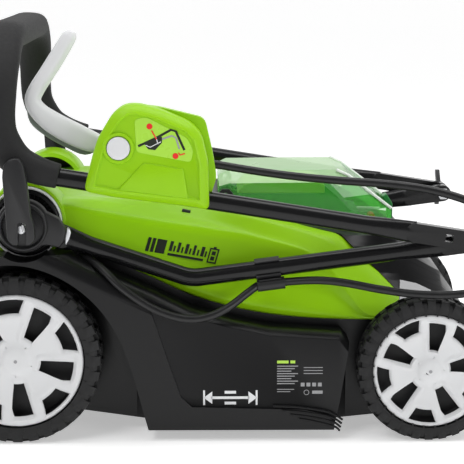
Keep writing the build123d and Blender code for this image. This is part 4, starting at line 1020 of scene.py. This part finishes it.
# A bright steel crescent on the flattened end of the black lower tube: a painted highlight where it turns from flat to
# round
TUBE_BEND_HIGHLIGHT = [(51.5, 206), (55.5, 213), (57.4, 220), (56, 224.5), (53.5, 225.5), (51.2, 214)]
BOLT_END = rounded([(11.0, 226.4), (14.2, 226.4), (12.8, 234.6), (9.6, 234.6)], 1.2)
for name, side in SIDES.items():
    shape = layered(rounded(LEVER, 2.5, 3), side, LEVER_LEVELS)
    piece(f"cam_lever_{name}_shape", shape, "trim_grey", f"cam_lever_{name}_body", "dark_plastic",
          (f"cam_lever_{name}",), angle=50, bevel=0.4)
    shape = join([layered(KNUCKLE, side, KNUCKLE_LEVELS), lathe(PIVOT, side, KNUCKLE_RING, 80)])
    piece(f"knuckle_{name}_shape", shape, "trim_grey", "lower_handle", "dark_plastic", (f"knuckle_{name}",),
          angle=40, bevel=0.4)
    teeth = [lug(PIVOT, side, 2 * math.pi * i / TEETH, TOOTH_WIDTH, TOOTH) for i in range(TEETH)]
    piece(f"handle_bracket_{name}_shape", join([lathe(PIVOT, side, BRACKET)] + teeth), "black", "chassis",
          "black_shell", (f"handle_bracket_{name}",))
    # The bracket's edge ring is light grey: a painted highlight
    piece(f"bracket_rim_{name}", lathe(PIVOT, side, BRACKET_EDGE_HIGHLIGHT), "light_grey", "chassis", "light_grey", angle=40)
    # The crescent's bright steel is a painted highlight on the black tube
    shape = slab(TUBE_BEND_HIGHLIGHT, side * 166, side * 170.5)
    piece(f"tube_shoulder_{name}", shape, "steel", "lower_handle", "tube", angle=40, bevel=0.8)
    # The pivot bolt's end is drawn white: a painted highlight on its steel
    shape = layered(BOLT_END, side, ((0, 188), (0, 202.6), (0.6, 203.4)))
    piece(f"pivot_bolt_end_{name}", shape, "graphic_white", "lower_handle", "steel", angle=40)

# ---------------------------------------------------------------- prints on the cover and the deck
def on_cover(x, z):
    """The half width of the cover's slanted side at x and height z."""
    for (x0, *p), (x1, *q) in zip(COVER, COVER[1:]):
        if x0 <= x <= x1:
            t = (x - x0) / (x1 - x0)
            low, high = (tuple(a + (b - a) * t for a, b in zip(p[i], q[i])) for i in (2, 3))
            share = (z - low[1]) / (high[1] - low[1])
            return low[0] + (high[0] - low[0]) * share
    return 150.0


def cover_print(name, shapes, look):
    """Flat prints, as (x, z) outlines, laid on the slanted side of the cover."""
    solids = [rings([[at(x, -(on_cover(x, z) + out), z) for x, z in outline] for out in (-0.4, 0.55)])
              for outline in shapes]
    piece(name, join(solids), look, "chassis", "green_shell")


def slanted(u, v):
    """A place on the cover's print: u runs along it, v up across it, both in millimetres."""
    return (134 + 0.985 * u + 0.30 * v, 199.5 - 0.200 * u + 0.99 * v)


def bar(u0, u1, v0, v1):
    return [slanted(u0, v0), slanted(u1, v0), slanted(u1, v1), slanted(u0, v1)]


BARS = [bar(0, 3.4, -3, 11), bar(5, 8.4, -3, 11), bar(10, 20, -3, 11)]
for i, width in enumerate((3.2, 2.8, 3.2, 2.6, 3.4)):
    BARS.append(bar(24 + 8.4 * i, 24 + 8.4 * i + width, 1, 11))
    BARS.append(bar(28.6 + 8.4 * i, 30.4 + 8.4 * i, 1, 7))
BARS += [bar(24, 62, -3.6, -1.2), bar(66, 76, -4, -2.6), bar(66, 76, 10, 11.4), bar(66, 67.4, -2.6, 10),
         bar(74.6, 76, -2.6, 10), bar(69, 73, -1, 3), bar(69, 73, 4.4, 8.4), bar(69.5, 72.5, 11.4, 13)]
cover_print("cover_mark", BARS, "graphic_black")

PANEL_Y = -184.0
ARROW_Z = 46


def panel_print(name, shapes, look):
    """Flat prints, as (x, z) outlines, on the flat side of the deck."""
    piece(name, join([flat(outline, PANEL_Y, 0.3) for outline in shapes]), look, "chassis", "black_shell")


def box_outline(x0, x1, z0, z1):
    return [(x0, z0), (x1, z0), (x1, z1), (x0, z1)]


def arrow_head(tip, way, size):
    base, half = tip - way * size, size * 0.75
    return [(tip, ARROW_Z), (base, ARROW_Z + half), (base, ARROW_Z - half)]


panel_print("width_mark", [
    arrow_head(195, -1, 9), arrow_head(251, 1, 9), box_outline(203, 243, 44.6, 47.4),
    box_outline(194.4, 196.4, 38, 54), box_outline(249.6, 251.6, 38, 54), box_outline(217, 229, 50.4, 53.4),
    box_outline(217, 229, 38.6, 41.6)], "graphic_white")
LINES = [box_outline(272, 294 - (i % 3) * 3.5, 79.5 - 2.7 * i, 80.5 - 2.7 * i) for i in range(8)]
LINES += [box_outline(300, 320, 78 - 3.2 * i, 78.8 - 3.2 * i) for i in range(3)]
LINES += [box_outline(272, 290, 54.5, 55.2), box_outline(272, 286, 52, 52.7)]
LINES += [box_outline(297 + 6 * i, 301 + 6 * i, 58, 62) for i in range(4)]
circle = disc((303, 51.5), 2.6, 16)
LINES += [stroke(circle + circle[:1], 0.6), box_outline(309, 320, 50, 53.4)]
panel_print("rating_lines", LINES, "graphic_grey")
panel_print("rating_mark", [box_outline(272, 284, 83, 86), box_outline(286, 291, 83, 86)], "latch")

# ---------------------------------------------------------------- ridges of the deck's front foot, slot of the cover
RIDGES = 4
RIDGE_Y = -188.8
ridges = []
for i in range(RIDGES):
    path = smooth_path([(268 + 9 * i, 38 - 4.5 * i), (296 + 5 * i, 36.5 - 5 * i), (326 + 2 * i, 31.5 - 5.2 * i),
                        (341 - i, 23 - 4 * i)], 4)
    ridges.append(swept([(x, RIDGE_Y, z, 2.4, 3.4) for x, z in path], 2.2, 10))
piece("deck_ridges", join(ridges), "black", "chassis", "black_shell", angle=60)
# A flush black plate in the cover's slot: painted shade of the slot's hollow
slot = slab([(171.5, 233.4), (180.5, 231.4), (181.3, 234.2), (172.6, 236.2)], -118.4, -112)
piece("cover_slot", slot, "graphic_black", "chassis", "green_shell", bevel=0.6)

# Glossy plates on the shoulders of the hood, whose lighter grey is a painted reflection of the bright facet there
HOOD_REFLECTION = ((404, 139.5, 137.5), (437, 137, 133.5), (441, 118.5, 146.5), (425, 114.5, 153.5), (407, 115.5, 157.5))
for name, side in SIDES.items():
    shape = rings([[at(x, side * (y + out), z + up) for x, y, z in HOOD_REFLECTION]
                   for out, up in ((-1.2, -1.6), (0.6, 0.8))])
    piece(f"hood_panel_{name}", shape, "gloss", "chassis", "black_shell", bevel=0.5)

# ---------------------------------------------------------------- cable clip
# The right lower tube's straight front run, as (x, z) of its two ends
TUBE_RUN = ((182, 170), (491, 210))
TUBE_Y = -163


def clip_section(start, end, inner, outer, centre=(0.0, 0.0), steps=40):
    """A C-shaped wall's (across, up) outline: its ends in degrees and its radii in millimetres."""
    turns = [math.radians(start + (end - start) * i / steps) for i in range(steps + 1)]
    return [(centre[0] + radius * math.cos(a), centre[1] + radius * math.sin(a))
            for radius, arc in ((inner, turns), (outer, reversed(turns))) for a in arc]


def along_tube(distance, across, up):
    """A place beside the lower tube's front run: distance along it, across to the left, and up."""
    (x0, z0), (x1, z1) = TUBE_RUN
    run = Vector((x1 - x0, z1 - z0)).normalized()
    return at(x0 + run.x * distance - run.y * up, TUBE_Y + across, z0 + run.y * distance + run.x * up)


shapes = []
for section, start, end in (
    (clip_section(205, 490, 9.6, 11.6), 68, 94),
    (clip_section(-250, 70, 4.6, 6.6, (-4.5, -16.2)), 68, 97),
    ([(-10.4, -9.2), (-2, -11.2), (-1, -12.6), (-8, -12.4), (-11.6, -10)], 70, 94),
):
    shapes.append(rings([[along_tube(d, a, u) for a, u in section] for d in (start, end)]))
piece("cable_clip_shape", join(shapes), "trim_grey", "lower_handle", "dark_plastic", ("cable_clip",), angle=40,
      bevel=0.3)

# ---------------------------------------------------------------- clear lid
LID_MIDDLE = [(214, 241), (210, 254), (210.6, 264), (220, 268.5), (262, 269), (341, 269.4), (355, 263.5),
              (403.5, 226), (404.5, 205.5), (386, 206.5), (350, 207.5), (311, 216.5), (265, 229.5), (226, 239.5)]
LID_SIDE = [(214, 241), (210.5, 248), (212, 253), (223, 256), (262, 256.5), (334, 257), (346, 252.5), (402, 215),
            (404.5, 205.5), (386, 206.5), (350, 207.5), (311, 216.5), (265, 229.5), (226, 239.5)]
LID_YS = (-66.3, -53, -18, 18, 53, 66.3)
LID_OPEN_FROM = 7
LID_TOP = range(2, 6)
vertices = [at(x, y, z) for y, outline in zip(LID_YS, (LID_SIDE, *[LID_MIDDLE] * 4, LID_SIDE)) for x, z in outline]
count = len(LID_MIDDLE)
spans = len(LID_YS) - 1
side_faces, top_faces = [tuple(range(count)), tuple(range(spans * count, (spans + 1) * count))], []
for face in sheet(len(LID_YS), count):
    column = face[0] % count
    if column < LID_OPEN_FROM:
        (top_faces if column in LID_TOP else side_faces).append(face)
piece("lid", (vertices, side_faces), "lid_side", "lid", "clear_green", ("battery_lid",), angle=20)
piece("lid_top", (vertices, top_faces), "lid_top", "lid", "clear_green", angle=20)
# Near-white bars along its edges, a painted highlight: |y|, width, thickness and (x, z) points
LID_HIGHLIGHT_BARS = (
    (54, 3.4, 4.5, ((342, 269.4), (355, 263.5), (403.5, 226))),
    (66, 3, 3, ((214, 242), (265, 230), (311, 217), (350, 208.5), (403, 206.5))),
)
rim = [swept([(x, sign * y, z, width, thickness) for x, z in run], 3, 12)
       for sign in (-1, 1) for y, width, thickness, run in LID_HIGHLIGHT_BARS]
piece("lid_rim", join(rim), "lid_rim", "lid", "clear_green", angle=60)
rail = slab([(232, 241), (240, 251), (262, 256), (318, 255), (330, 250), (330, 241)], -40, 40)
piece("battery_rail", rail, "latch", "battery", "battery", angle=30, bevel=1.0)

# ---------------------------------------------------------------- CAD pieces with rounded edges
REFINED = {
    "deck": 1.4, "top_hood": 1.2, "wing_nut_right": 1.0, "wing_nut_left": 1.0, "rear_flap": 1.5, "lid_latch": 1.0,
    "battery_pack": 1.2, "safety_key": 0.8, "controller": 1.0, "blade": 0.5, "blade_carrier": 0.8,
    "lower_tube_right": 0.5, "lower_tube_left": 0.5, "upper_tube_right": 0.5, "upper_tube_left": 0.5,
    "rear_axle_clamps": 1.0, "front_axle_clamps": 1.0,
}
for node, bevel in REFINED.items():
    refined(node, "battery" if node == "lid_latch" else None, bevel)

for node, obj in nodes.items():
    obj.data.materials.clear()
    obj.data.materials.append(M[SLOT_LOOK[SLOT_OF[node]]])

visual_box = [list(corner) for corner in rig.bounds()]
with open("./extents.json", "w") as sizes:
    json.dump({"cad": cad_box, "visual": visual_box}, sizes)
